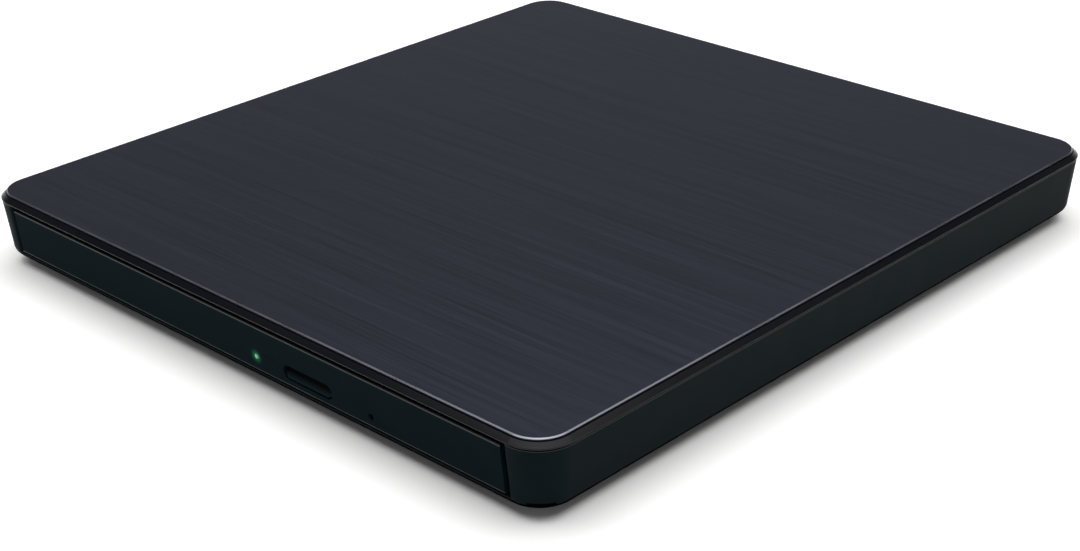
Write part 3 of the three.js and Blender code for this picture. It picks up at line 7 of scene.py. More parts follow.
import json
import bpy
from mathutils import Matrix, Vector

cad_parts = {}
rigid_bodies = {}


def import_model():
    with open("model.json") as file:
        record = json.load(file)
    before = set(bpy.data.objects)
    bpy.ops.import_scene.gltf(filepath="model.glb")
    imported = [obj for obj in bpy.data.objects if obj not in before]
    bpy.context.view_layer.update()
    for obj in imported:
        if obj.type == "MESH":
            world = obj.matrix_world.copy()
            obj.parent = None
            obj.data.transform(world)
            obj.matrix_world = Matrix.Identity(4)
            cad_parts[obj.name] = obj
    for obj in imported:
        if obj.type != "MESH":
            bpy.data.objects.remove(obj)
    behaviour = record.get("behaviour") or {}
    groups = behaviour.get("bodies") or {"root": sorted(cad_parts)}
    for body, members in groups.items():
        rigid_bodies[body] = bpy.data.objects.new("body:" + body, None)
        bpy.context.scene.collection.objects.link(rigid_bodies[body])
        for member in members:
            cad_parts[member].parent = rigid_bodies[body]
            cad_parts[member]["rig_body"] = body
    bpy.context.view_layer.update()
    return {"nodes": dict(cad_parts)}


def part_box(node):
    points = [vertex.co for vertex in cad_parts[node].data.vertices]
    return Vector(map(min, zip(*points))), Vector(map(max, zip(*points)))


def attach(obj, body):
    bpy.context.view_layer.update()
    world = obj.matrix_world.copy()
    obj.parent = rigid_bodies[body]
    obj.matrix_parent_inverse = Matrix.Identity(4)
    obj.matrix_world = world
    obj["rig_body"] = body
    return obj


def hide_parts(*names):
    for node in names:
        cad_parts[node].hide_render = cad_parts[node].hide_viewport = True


bl_info = {
    "name": "Slim Disc Writer",
    "version": (1, 0, 0),
    "blender": (4, 5, 0),
    "location": "3D View > Sidebar > Disc Writer",
    "description": "Models a slim disc writer with its tray and drive, and its studio",
    "category": "Object",
}

from math import atan2, cos, pi, radians, sin

import bmesh
import bpy
from mathutils import Matrix, Vector

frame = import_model()

MM = 0.001
# Object rotations for what is made along Z: turned to Y, its upper end looks along -Y
AXIS_TURNS = {"Y": (pi / 2, 0, 0), "Z": (0, 0, 0)}
# How far a cutting tool reaches past the surface that it opens, in millimetres
PAST = 3
# Vertices of a frame node closer than this are one
WELD = 0.004 * MM
# A vertex within this distance of a level is on it
CLOSE = 0.02 * MM
# Cosine above which an edge or a face counts as square to an axis
SQUARE = 0.99

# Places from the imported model, in millimetres
SPINDLE = (0, -4.5)
TRAVERSE_TURN = radians(225)
SCREW_X = 56.5
CASE_SCREW_Y = 63
DRIVE_SCREW_Y = -60
FOOT_X, FOOT_Y = 56.5, 61.5
# X and Z of what opens into the bezel's face
LIGHT = (5.9, 6.2)
PINHOLE = (32.6, 5.4)
# Half the width of the case's front opening, its sill and the top of the case's rim
MOUTH_HALF = 61.2
MOUTH_SILL = 3.3
RIM_TOP = 12.4

# Boxes as their low and high corners, in millimetres
COVER_PLATE = ((-64.9, -66.9, 12.3), (64.9, 70, 12.9))
COVER_RIB = ((-46, 69.4, 10.5), (46, 70, 12.6))
CAVITY = ((-65.2, -67.2, 2.3), (65.2, 70.3, RIM_TOP + PAST))
MOUTH = ((-MOUTH_HALF, -72.5 - PAST, MOUTH_SILL), (MOUTH_HALF, -60, RIM_TOP + PAST))
PORT = ((-24.35, 61.2, 5), (-15.65, 72.5 + PAST, 9.9))
BEZEL_HOLLOW = ((-58.7, -70.08, 4.4), (58.7, -67 + PAST, 11.05))
BUTTON_SLOT = ((12.5, -72.3 - PAST, 4.7), (23.9, -67, 7.3))
BUTTON_CAP = ((12.7, -71.3, 4.9), (23.7, -69.6, 7.1))
BUTTON_FLANGE = ((12, -69.88, 4.6), (24.4, -69.28, 7.5))
BUTTON_STEM = ((17, -69.5, 5.4), (19.4, -65.5, 6.6))
# Part of the bezel's face, in X and Z, that holds the light, the slot and the pinhole
OPENINGS = ((5, 33.5), (4.5, 7.5))

# Radii of the case's screw bores, and of the pegs that carry the board behind the drive
SHANK_RADIUS = 1.1 * MM
HEAD_RADIUS = 2.2 * MM
PEG_RADIUS = 0.7 * MM
PEG_PLACES = ((-30.5, 63.5), (27, 63.5))

# Steps of the case's rolled lower edge, and a power that makes it turn in later than a round
ROLL_STEPS = 10
ROLL_POWER = 1.3
# Values between which a noise pattern mostly lies
PATTERN_RANGE = (0.3, 0.7)
# Heights in millimetres between which a painted shade darkens the button upwards, under the slot's
# upper lip
BUTTON_PAINTED_SHADE = (5.2, 6.3)
# Heights of a ray's direction between which the room's pale walls fade into its even light
HORIZON_FADE = (0.13, 0.42)
# The floor as the camera sees it, brighter than white so that the soft light leaves it white
CLEAR_FLOOR = (1.17, 1.16, 1.157)
# Distances in metres between which the floor takes on a glow of its own
FLOOR_GLOW = (0.25, 1.2)


def linear(code):
    """sRGB hex code as a linear colour"""
    parts = [int(code[i : i + 2], 16) / 255 for i in (1, 3, 5)]
    return [p / 12.92 if p <= 0.04045 else ((p + 0.055) / 1.055) ** 2.4 for p in parts]


def colour(name, description, code):
    """Colour property that starts from an sRGB hex code"""
    return bpy.props.FloatVectorProperty(
        name=name,
        description=description,
        subtype="COLOR",
        min=0,
        max=1,
        default=linear(code),
    )


def number(name, description, start, **settings):
    """Property that starts from a plain number"""
    return bpy.props.FloatProperty(name=name, description=description, default=start, **settings)


def length(name, description, millimetres):
    """Length property that starts from a size in millimetres"""
    return number(name, description, millimetres * MM, unit="LENGTH", precision=5)


class WriterSizes(bpy.types.PropertyGroup):
    """Sizes of the edges and corners that show"""

    panel_chamfer: length("Panel chamfer", "Width of the cut edge round the top panel", 0.2)
    panel_drop: length("Panel drop", "Height of the cut edge round the top panel", 0.17)
    panel_inset: length("Panel inset", "How far the panel stops short of its place", 0.1)
    panel_corner: length("Panel corner", "Corner radius of the top panel", 5.46)
    lip_corner: length("Lip corner", "Corner radius of the cover's lip", 6.55)
    lip_height: length("Lip height", "Upright lip under the glossy band", 0.15)
    band_height: length("Band height", "Height of the glossy sloping band", 0.7)
    band_width: length("Band width", "Level width of the glossy sloping band", 0.828)
    wall_corner: length("Wall corner", "Corner radius of the case at its open rim", 6.4)
    wall_draft: length("Wall draft", "How far the wall leans in towards the floor", 0.85)
    undercut_height: length("Undercut height", "Height of the rolled lower edge", 2.7)
    undercut_depth: length("Undercut depth", "How far the lower edge rolls in", 5.0)
    post_edge: length("Post edge", "Rounding of the case beside the bezel", 0.5)
    bezel_edge: length("Bezel edge", "Rounding of the bezel's long edges", 0.26)
    bezel_lean: length("Bezel lean", "How far the bezel's face leans back at its foot", 0.77)
    slot_edge: length("Slot edge", "Rounding round the button's slot", 0.12)
    button_edge: length("Button edge", "Rounding of the button's face", 0.25)


class WriterColours(bpy.types.PropertyGroup):
    """Colours of the finishes"""

    panel: colour("Panel", "Dark anodised face of the top panel", "#333540")
    cut_edge: colour("Cut edge", "Bare aluminium of the panel's cut edge", "#8f919a")
    gloss: colour("Gloss", "Polished black plastic of the cover's band", "#07080f")
    satin: colour("Satin", "Satin black plastic of the case", "#101a1d")
    bezel: colour("Bezel", "Black plastic of the bezel and button", "#111c20")
    tray: colour("Tray", "Matt black plastic of the tray", "#1d1e20")
    light: colour("Light", "Green of the status light", "#37ff9c")
    board: colour("Board", "Solder mask of the circuit boards", "#0f4527")
    floor: colour("Floor", "Floor under the object", "#e6e6e4")


class WriterStudio(bpy.types.PropertyGroup):
    """Camera and lights"""

    azimuth: number("Azimuth", "Turn round the object", radians(44.39982), subtype="ANGLE")
    elevation: number("Elevation", "Angle above the floor", radians(25.86899), subtype="ANGLE")
    roll: number("Roll", "Tilt about the line of sight", radians(-1.35777), subtype="ANGLE")
    place: bpy.props.FloatVectorProperty(
        name="Camera place",
        description="Where the camera stands",
        subtype="TRANSLATION",
        default=(0.2302, -0.23689, 0.15237),
    )
    sensor: number("Sensor", "Width of the sensor in millimetres", 36)
    lens: number("Lens", "Focal length in millimetres", 66.198)
    room_light: number("Room light", "Strength of the room's even light", 0.12)
    horizon_light: number("Horizon light", "Strength of the pale walls low round the room", 1.0)
    top_light: number("Top light", "Power of the soft light overhead", 11.4, unit="POWER")
    top_size: number("Top light size", "Width of the light overhead", 1.28, unit="LENGTH")
    top_height: number("Top light height", "Height of the light overhead", 0.8, unit="LENGTH")


# Helpers for modelling


def mm(*values):
    """Point or size in metres from millimetres"""
    return Vector([value * MM for value in values])


def outline(*pairs):
    """Pairs of radius and height in metres from millimetres"""
    return [(radius * MM, height * MM) for radius, height in pairs]


def deselect():
    """Object mode, with nothing selected"""
    if bpy.context.mode != "OBJECT":
        bpy.ops.object.mode_set(mode="OBJECT")
    bpy.ops.object.select_all(action="DESELECT")


def choose(obj):
    """Selects one object alone and makes it active"""
    deselect()
    obj.select_set(True)
    bpy.context.view_layer.objects.active = obj


def edit(obj):
    """Edit mode on one object, with everything selected"""
    choose(obj)
    bpy.ops.object.mode_set(mode="EDIT")
    bpy.ops.mesh.select_all(action="SELECT")


def pick(kind, test):
    """In edit mode, selects the faces, edges or verts that pass a test"""
    bpy.ops.mesh.select_mode(type=kind[:-1].upper())
    bpy.ops.mesh.select_all(action="DESELECT")
    mesh = bpy.context.edit_object.data
    shape = bmesh.from_edit_mesh(mesh)
    found = [part for part in getattr(shape, kind) if test(part)]
    if not found:
        raise RuntimeError(f"{mesh.name} has no such {kind}")
    for part in found:
        part.select_set(True)
    shape.select_flush_mode()
    bmesh.update_edit_mesh(mesh)


def both_ends(test):
    """Test for edges: whether both ends lie where a test of places says"""
    return lambda edge: all(test(vertex.co) for vertex in edge.verts)


def assign(slot, test):
    """In edit mode, gives the faces that pass a test a material slot"""
    pick("faces", test)
    bpy.context.object.active_material_index = slot
    bpy.ops.object.material_slot_assign()


def bevel(width, segments=3, material=-1):
    """Rounds the selected edges, and may give the new faces a material slot of their own"""
    bpy.ops.mesh.bevel(offset=width, segments=segments, material=material)


def extrude(along, scale=(1, 1, 1), centre=(0, 0, 0)):
    """Extrudes the selected faces along a vector and then scales them about a centre"""
    bpy.ops.mesh.extrude_region_move(TRANSFORM_OT_translate={"value": along})
    bpy.ops.transform.resize(value=scale, center_override=centre)


def settle(obj):
    """Applies the place of an object"""
    choose(obj)
    bpy.ops.object.transform_apply(location=True, rotation=True, scale=True)
    return obj


def placed(name):
    """Names the new primitive and applies its place"""
    made = bpy.context.object
    made.name = made.data.name = name
    return settle(made)


def modify(obj, kind, **settings):
    """Applies a modifier with its settings"""
    choose(obj)
    change = obj.modifiers.new(kind, kind)
    for name, value in settings.items():
        setattr(change, name, value)
    bpy.ops.object.modifier_apply(modifier=change.name)


def block(name, low, high):
    """Box between two corners"""
    deselect()
    low, high = Vector(low), Vector(high)
    bpy.ops.mesh.primitive_cube_add(size=1, location=(low + high) / 2, scale=high - low)
    return placed(name)


def solid(name, corners):
    """Box from a pair of corners in millimetres"""
    return block(name, mm(*corners[0]), mm(*corners[1]))


def rod(name, centre, radius, depth, axis="Z", sides=48):
    """Round bar about a centre"""
    deselect()
    bpy.ops.mesh.primitive_cylinder_add(
        vertices=sides, radius=radius, depth=depth, location=centre, rotation=AXIS_TURNS[axis]
    )
    return placed(name)


def turned(name, place, profile, axis="Z", sides=64):
    """Body turned about an axis through a place, from pairs of radius and height, lowest first"""
    deselect()
    radius, height = profile[0]
    bpy.ops.mesh.primitive_circle_add(
        vertices=sides, radius=radius, fill_type="NGON", location=(0, 0, height)
    )
    made = placed(name)
    edit(made)
    for next_radius, next_height in profile[1:]:
        scale = next_radius / radius
        extrude((0, 0, next_height - height), (scale, scale, 1), (0, 0, next_height))
        radius, height = next_radius, next_height
    made.location = place
    made.rotation_euler = AXIS_TURNS[axis]
    return settle(made)


def runs_along(edge, axis):
    """Whether an edge is parallel to an axis"""
    start, end = (vertex.co for vertex in edge.verts)
    along = end - start
    return abs(along["XYZ".index(axis)]) > SQUARE * along.length


def looks_up(face):
    """Whether a face is level and on top"""
    return face.normal.z > SQUARE


def looks_down(face):
    """Whether a face is level and underneath"""
    return face.normal.z < -SQUARE


def round_along(obj, axis, radius, segments=12, test=lambda edge: True):
    """Rounds the edges that run along an axis"""
    edit(obj)
    pick("edges", lambda edge: runs_along(edge, axis) and test(edge))
    bevel(radius, segments)
    deselect()


def combine(obj, *tools, way="DIFFERENCE"):
    """Cuts away or joins on other objects, which are used up and take over the first material"""
    for tool in tools:
        tool.data.materials.clear()
        for material in obj.data.materials[:1]:
            tool.data.materials.append(material)
        modify(obj, "BOOLEAN", operation=way, solver="MANIFOLD", object=tool)
        bpy.data.objects.remove(tool)
    return obj


def soften(obj, width, segments=2, angle=35):
    """Rounds every edge sharper than an angle"""
    limit = {"limit_method": "ANGLE", "angle_limit": radians(angle)}
    modify(obj, "BEVEL", width=width, segments=segments, **limit)


def merged_copy(node, name):
    """Copy of a frame node, its loose triangles merged into flat faces"""
    made = bpy.data.objects.new(name, frame["nodes"][node].data.copy())
    made.data.name = name
    bpy.context.scene.collection.objects.link(made)
    edit(made)
    bpy.ops.mesh.customdata_custom_splitnormals_clear()
    bpy.ops.mesh.remove_doubles(threshold=WELD)
    bpy.ops.mesh.dissolve_limited(angle_limit=radians(0.3))
    deselect()
    return made


def paint(obj, *finishes):
    """Gives a piece its materials, each by the function that makes it"""
    obj.data.materials.clear()
    for build in finishes:
        name = build.__name__
        obj.data.materials.append(bpy.data.materials.get(name) or build(name))


def fit(obj, finish, body, slot, *nodes, smooth=32):
    """Gives a piece its material, shading and body, and hides the frame nodes that it stands for"""
    edit(obj)
    bpy.ops.mesh.normals_make_consistent(inside=False)
    choose(obj)
    if finish:
        paint(obj, finish)
    bpy.ops.object.material_slot_remove_unused()
    bpy.ops.object.shade_smooth_by_angle(angle=radians(smooth))
    # Large faces keep their own normals, so a flat face stays flat up to its rounded edge
    modify(obj, "WEIGHTED_NORMAL", keep_sharp=True)
    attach(obj, body)
    if nodes:
        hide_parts(*nodes)


def body_of(node):
    """Body of a frame node"""
    return frame["nodes"][node]["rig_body"]


# Materials


def tone(name):
    """Linear colour from the properties"""
    return getattr(bpy.context.scene.writer_colours, name)


def add_node(tree, kind, inputs=None, **settings):
    """Adds a shader node. An input gets a constant, or a link if it is given a socket"""
    node = tree.nodes.new("ShaderNode" + kind)
    for name, value in settings.items():
        setattr(node, name, value)
    for name, value in (inputs or {}).items():
        if isinstance(value, bpy.types.NodeSocket):
            tree.links.new(value, node.inputs[name])
        else:
            node.inputs[name].default_value = value
    return node


def new_material(name, **inputs):
    """Material with one Principled shader. Returns the material, its node tree and the shader"""
    made = bpy.data.materials.new(name)
    made.use_nodes = True
    tree = made.node_tree
    tree.nodes.clear()
    named = {key.replace("_", " "): value for key, value in inputs.items()}
    shader = add_node(tree, "BsdfPrincipled", named)
    add_node(tree, "OutputMaterial", {"Surface": shader.outputs[0]})
    return made, tree, shader


def place_on_object(tree, **mapping):
    """Place on the object in metres, mapped if a location, rotation or scale is given"""
    place = add_node(tree, "TexCoord").outputs["Object"]
    if mapping:
        place = add_node(tree, "Mapping", {"Vector": place, **mapping}).outputs[0]
    return place


def grain(tree, size, detail=2, seed=0):
    """Noise whose blobs have a size in millimetres along X, Y and Z"""
    start = (seed, seed * 0.37, seed * 0.71)
    place = place_on_object(tree, Scale=[1 / (part * MM) for part in size], Location=start)
    inputs = {"Vector": place, "Scale": 1.0, "Detail": detail}
    return add_node(tree, "TexNoise", inputs).outputs["Fac"]


def bands(tree, place, spacing, distortion=0.0, profile="SIN"):
    """Waves along X, a spacing in millimetres apart. At a scale of 1 they are pi / 10 apart"""
    inputs = {"Vector": place, "Scale": pi / 10 / (spacing * MM), "Distortion": distortion}
    return add_node(tree, "TexWave", inputs, wave_profile=profile).outputs["Fac"]


def ramp(tree, value, start, end, first=0, last=1, shape="LINEAR"):
    """Number that goes from a first to a last while a value goes from a start to an end"""
    inputs = {"Value": value, "From Min": start, "From Max": end, "To Min": first, "To Max": last}
    return add_node(tree, "MapRange", inputs, interpolation_type=shape).outputs[0]


def mix(tree, share, first, second):
    """Mix of two linear colours. The node has its share at input 0 and its colours at 6 and 7"""
    inputs = {0: share, 6: (*first, 1), 7: (*second, 1)}
    return add_node(tree, "Mix", inputs, data_type="RGBA").outputs[2]


def span(tree, place):
    """Distance of a place from the origin"""
    return add_node(tree, "VectorMath", {0: place}, operation="LENGTH").outputs["Value"]


def calculate(tree, operation, first, second):
    """Number from two others"""
    return add_node(tree, "Math", {0: first, 1: second}, operation=operation).outputs[0]


def tint(tree, shader, pattern, first, second):
    """Colours a shader with two linear colours by a pattern whose middle is a half"""
    share = ramp(tree, pattern, *PATTERN_RANGE)
    tree.links.new(mix(tree, share, first, second), shader.inputs["Base Color"])


def roughen(tree, shader, pattern, low, high):
    """Roughness between two limits by a pattern whose middle is a half"""
    tree.links.new(ramp(tree, pattern, *PATTERN_RANGE, low, high), shader.inputs["Roughness"])


def raise_bumps(tree, shader, height, depth):
    """Bumps of a depth in millimetres"""
    bump = add_node(tree, "Bump", {"Height": height, "Strength": 1.0, "Distance": depth * MM})
    tree.links.new(bump.outputs[0], shader.inputs["Normal"])


def shades(base, change):
    """Darker and lighter shade of a linear colour"""
    return [c * (1 - change) for c in base], [min(1, c * (1 + change)) for c in base]


def moulded(name, base, roughness, size, depth, specular=0.5, change=0.08):
    """Moulded plastic or rubber: an even colour, a fine eroded texture and faint clouds of gloss"""
    made, tree, shader = new_material(name, Specular_IOR_Level=specular)
    texture = grain(tree, (size, size, size), 3)
    clouds = grain(tree, (size * 40, size * 40, size * 40), 1, 3)
    tint(tree, shader, clouds, *shades(base, change))
    roughen(tree, shader, clouds, roughness * 0.92, roughness * 1.08)
    raise_bumps(tree, shader, texture, depth)
    return made


def rolled(name, base, roughness, size, depth, change=0.12):
    """Metal with a drawn or rolled grain whose streaks have a size along X, Y and Z"""
    made, tree, shader = new_material(name, Metallic=1.0)
    streaks = grain(tree, size, 3)
    clouds = grain(tree, (9, 9, 9), 2, 5)
    tint(tree, shader, streaks, *shades(base, change))
    roughen(tree, shader, clouds, roughness * 0.8, roughness * 1.2)
    raise_bumps(tree, shader, streaks, depth)
    return made


def brushed_anodised_aluminium(name):
    """Dark blue-grey satin metal with faint hairlines across the front, coarser than real ones"""
    made, tree, shader = new_material(name, Metallic=1.0, Specular_Tint=(0.8, 0.82, 0.88, 1))
    hairlines = grain(tree, (26, 0.3, 26), 3)
    streaks = grain(tree, (90, 1.7, 90), 1, 7)
    both = add_node(tree, "Mix", {0: 0.35, 2: hairlines, 3: streaks}, data_type="FLOAT")
    tint(tree, shader, both.outputs[0], *shades(tone("panel"), 0.22))
    roughen(tree, shader, hairlines, 0.38, 0.46)
    raise_bumps(tree, shader, hairlines, depth=0.006)
    return made


def cut_aluminium(name):
    """Bright diamond-cut edge with fine turning lines along it"""
    size = (0.2, 0.2, 0.05)
    return rolled(name, tone("cut_edge"), roughness=0.3, size=size, depth=0.0005, change=0.05)


def gloss_black_abs(name):
    """Polished near-black plastic that only shows the lamps"""
    return moulded(name, tone("gloss"), 0.24, size=0.5, depth=0.0003, specular=0.22, change=0.05)


def satin_black_abs(name):
    """Greenish black moulded case with an even satin face"""
    return moulded(name, tone("satin"), roughness=0.5, size=0.12, depth=0.002, specular=0.02)


def from_light(tree, near, far, at_near, at_far):
    """Number that changes with the distance in millimetres from the status light's axis"""
    flat = place_on_object(tree, Location=(-LIGHT[0], 0, -LIGHT[1]), Scale=(1 / MM, 0, 1 / MM))
    return ramp(tree, span(tree, flat), near, far, at_near, at_far, "SMOOTHSTEP")


def bezel_black_abs(name):
    """Black bezel, a shade darker than the case, with a painted glow: a faint green emission round
    the light where its spill would fall
    """
    made = moulded(name, tone("bezel"), roughness=0.5, size=0.12, depth=0.0015, specular=0.005)
    tree = made.node_tree
    shader = tree.nodes["Principled BSDF"]
    # Painted glow: the bezel itself emits green near the status light
    shader.inputs["Emission Color"].default_value = (*tone("light"), 1)
    tree.links.new(from_light(tree, 0.3, 1.5, 0.08, 0), shader.inputs["Emission Strength"])
    return made


def button_black_abs(name):
    """Black button with painted light and shade: paler than the bezel at its foot, where light
    falls, and darkest under the slot's upper lip, where shade falls
    """
    made, tree, shader = new_material(name, Specular_IOR_Level=0.01, Roughness=0.5)
    axes = add_node(tree, "SeparateXYZ", {"Vector": place_on_object(tree)})
    low, high = (level * MM for level in BUTTON_PAINTED_SHADE)
    # Painted shade: the share of near-black grows towards the top, under the slot's upper lip
    # From one end of the pattern's range to the other
    lip = ramp(tree, axes.outputs["Z"], low, high, *PATTERN_RANGE, "SMOOTHSTEP")
    # Painted light: the foot gets a paler copy of the bezel's black
    pale = [part * 1.3 for part in tone("bezel")]
    tint(tree, shader, lip, pale, linear("#020304"))
    raise_bumps(tree, shader, grain(tree, (0.12, 0.12, 0.12), 3), depth=0.0015)
    return made


def rolled_black_abs(name):
    """Painted shade: a dull, near-black copy of the case's black on its rolled lower edge, so that
    it stays dark by the floor
    """
    return moulded(name, linear("#030404"), roughness=0.8, size=0.25, depth=0.01, specular=0.0)


def eroded_black_abs(name):
    """Coarser spark-eroded black of the case's flat underside"""
    return moulded(name, linear("#121415"), roughness=0.7, size=0.3, depth=0.015, specular=0.25)


def bright_black_edge(name):
    """Moulded edge of the black parts, smoother than their faces and with a painted sheen: it
    reflects far more than their faces, so that it shows as a thin pale line
    """
    return moulded(name, linear("#191c1d"), roughness=0.3, size=0.2, depth=0.0003)


def tray_polycarbonate(name):
    """Matt, slightly coarse black of the tray and its cover"""
    return moulded(name, tone("tray"), roughness=0.6, size=0.18, depth=0.006, specular=0.35)


def connector_nylon(name):
    """Glass-filled black nylon, with a dry look"""
    return moulded(name, linear("#202123"), roughness=0.55, size=0.1, depth=0.004, specular=0.4)


def foot_rubber(name):
    """Dull dark grey rubber"""
    return moulded(name, linear("#1b1b1d"), roughness=0.85, size=0.15, depth=0.006, specular=0.3)


def epoxy_resin(name):
    """Dark grey chip body with a fine matt skin"""
    return moulded(name, linear("#26272a"), roughness=0.5, size=0.08, depth=0.003, specular=0.4)


def spring_steel(name):
    """Zinc-plated sheet and wire, faintly streaked"""
    return rolled(name, linear("#aeb1b4"), roughness=0.32, size=(6, 0.3, 6), depth=0.001)


def screw_thread(name):
    """Rolled steel with a two-start thread, its grooves 1.5 mm apart for a lead of 3 mm"""
    made, tree, shader = new_material(name, Metallic=1.0, Roughness=0.28)
    along = place_on_object(tree, Rotation=(0, 0, -TRAVERSE_TURN))
    turns = bands(tree, along, 1.5, profile="TRI")
    tint(tree, shader, turns, linear("#6d7074"), linear("#b6b9bc"))
    raise_bumps(tree, shader, turns, depth=0.3)
    return made


def dark_steel(name):
    """Blackened screws and stamped parts"""
    return rolled(name, linear("#55585c"), roughness=0.42, size=(0.4, 0.4, 0.4), depth=0.002)


def gold_plate(name):
    """Bright yellow contact fingers, streaked along their length"""
    yellow = linear("#d9b45c")
    return rolled(name, yellow, roughness=0.25, size=(0.4, 3, 0.4), depth=0.0005, change=0.05)


def copper_wire(name):
    """Enamelled windings, reddish, with rows of wire drawn 0.3 mm apart so that they show"""
    made, tree, shader = new_material(name, Metallic=1.0, Roughness=0.35)
    rows = bands(tree, place_on_object(tree), 0.3, distortion=0.6)
    tint(tree, shader, rows, linear("#7a3f22"), linear("#b4683c"))
    raise_bumps(tree, shader, rows, depth=0.06)
    return made


def solder_mask(name):
    """Dark green glossy board, with lighter tracks under the mask"""
    made, tree, shader = new_material(name, Roughness=0.3)
    dark, light = shades(tone("board"), 0.35)
    tracks = add_node(
        tree,
        "TexBrick",
        {
            "Vector": place_on_object(tree, Scale=(1 / MM, 1 / MM, 1 / MM)),
            "Color1": (*dark, 1),
            "Color2": (*tone("board"), 1),
            "Mortar": (*light, 1),
            "Scale": 1.0,
            "Mortar Size": 0.12,
            "Brick Width": 7.3,
            "Row Height": 0.6,
        },
        offset_frequency=3,
    )
    tree.links.new(tracks.outputs[0], shader.inputs["Base Color"])
    raise_bumps(tree, shader, tracks.outputs[1], depth=0.02)
    return made


def polyimide_film(name):
    """Amber film with copper tracks showing through along the cable"""
    made, tree, shader = new_material(name, Roughness=0.28)
    tracks = grain(tree, (0.9, 300, 300), 0)
    tint(tree, shader, tracks, linear("#7a3f12"), linear("#c27a2c"))
    raise_bumps(tree, shader, tracks, depth=0.02)
    return made


def lens_glass(name):
    """Coated glass with a dark blue-violet cast"""
    made, tree, shader = new_material(name, Roughness=0.03, Coat_Weight=1.0, Coat_Roughness=0.02)
    tint(tree, shader, grain(tree, (0.8, 0.8, 0.8), 1), linear("#2a2f4a"), linear("#3b3358"))
    return made


def status_light(name):
    """Lit green pipe, whitest at its middle"""
    made, tree, shader = new_material(name, Roughness=0.3, Emission_Strength=0.6)
    share = from_light(tree, 0.0, 0.5, 0, 1)
    glow = mix(tree, share, linear("#7cab9b"), linear("#10654a"))
    tree.links.new(glow, shader.inputs["Base Color"])
    tree.links.new(glow, shader.inputs["Emission Color"])
    return made


# Operators


class WRITER_OT_studio(bpy.types.Operator):
    """Adds the camera, the floor, the room and the lights"""

    bl_idname = "writer.studio"
    bl_label = "Studio"

    def execute(self, context):
        scene = context.scene
        scene.view_settings.view_transform = "Standard"
        self.add_camera(scene, scene.writer_studio)
        self.add_floor()
        self.add_room(scene, scene.writer_studio)
        self.add_top_light(scene, scene.writer_studio)
        return {"FINISHED"}

    def add_camera(self, scene, studio):
        """Camera that looks at an azimuth and elevation and tilts about its line of sight"""
        aim = Matrix.Rotation(studio.azimuth, 4, "Z")
        aim @= Matrix.Rotation(pi / 2 - studio.elevation, 4, "X")
        aim @= Matrix.Rotation(studio.roll, 4, "Z")
        lens = bpy.data.cameras.new("camera")
        lens.sensor_width = studio.sensor
        lens.lens = studio.lens
        lens.clip_start = 0.01
        lens.clip_end = 20
        camera = bpy.data.objects.new("camera", lens)
        scene.collection.objects.link(camera)
        camera.matrix_world = Matrix.Translation(studio.place) @ aim
        scene.camera = camera

    def add_floor(self):
        """Off-white floor that the camera and gloss see as white, but for the object's shadow"""
        deselect()
        bpy.ops.mesh.primitive_circle_add(vertices=96, radius=6, fill_type="NGON")
        floor = placed("floor")
        made, tree, shader = new_material("pale_floor", Roughness=0.9, Specular_IOR_Level=0.0)
        rays = add_node(tree, "LightPath").outputs
        clear = calculate(tree, "MAXIMUM", rays["Is Camera Ray"], rays["Is Glossy Ray"])
        clear = calculate(tree, "MAXIMUM", clear, rays["Is Transmission Ray"])
        seen = mix(tree, clear, tone("floor"), CLEAR_FLOOR)
        tree.links.new(seen, shader.inputs["Base Color"])
        # The top light fades far off, and a glow keeps the floor white there
        far = ramp(tree, span(tree, place_on_object(tree)), *FLOOR_GLOW, shape="SMOOTHSTEP")
        glow = calculate(tree, "MULTIPLY", far, clear)
        shader.inputs["Emission Color"].default_value = (1, 1, 1, 1)
        tree.links.new(glow, shader.inputs["Emission Strength"])
        floor.data.materials.append(made)

    def add_room(self, scene, studio):
        """Even light all round, brighter low down where pale walls would stand"""
        world = bpy.data.worlds.new("room")
        world.use_nodes = True
        tree = world.node_tree
        tree.nodes.clear()
        ray = add_node(tree, "TexCoord").outputs["Generated"]
        axes = add_node(tree, "SeparateXYZ", {"Vector": ray})
        lights = (studio.horizon_light, studio.room_light)
        strength = ramp(tree, axes.outputs["Z"], *HORIZON_FADE, *lights, "SMOOTHSTEP")
        background = add_node(tree, "Background", {"Strength": strength})
        add_node(tree, "OutputWorld", {"Surface": background.outputs[0]})
        scene.world = world

    def add_top_light(self, scene, studio):
        """Wide soft light over the object"""
        lamp = bpy.data.lights.new("top_light", "AREA")
        lamp.size = studio.top_size
        lamp.energy = studio.top_light
        light = bpy.data.objects.new("top_light", lamp)
        light.location = (0, 0.05, studio.top_height)
        scene.collection.objects.link(light)


class WRITER_OT_top_panel(bpy.types.Operator):
    """Adds the brushed panel with its cut edge"""

    bl_idname = "writer.top_panel"
    bl_label = "Top Panel"

    def execute(self, context):
        sizes = context.scene.writer_sizes
        low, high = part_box("top_panel")
        short = Vector((sizes.panel_inset, sizes.panel_inset, 0))
        drop = Vector((0, 0, sizes.panel_drop))
        panel = block("panel", low + short, high - short - drop)
        round_along(panel, "Z", sizes.panel_corner, 20)
        edit(panel)
        pick("faces", looks_up)
        bpy.ops.mesh.inset(thickness=sizes.panel_chamfer, depth=sizes.panel_drop)
        paint(panel, brushed_anodised_aluminium, cut_aluminium)
        assign(1, lambda face: 0.5 < face.normal.z < 0.95)
        fit(panel, None, "enclosure", "brushed_panel", "top_panel", smooth=20)
        return {"FINISHED"}


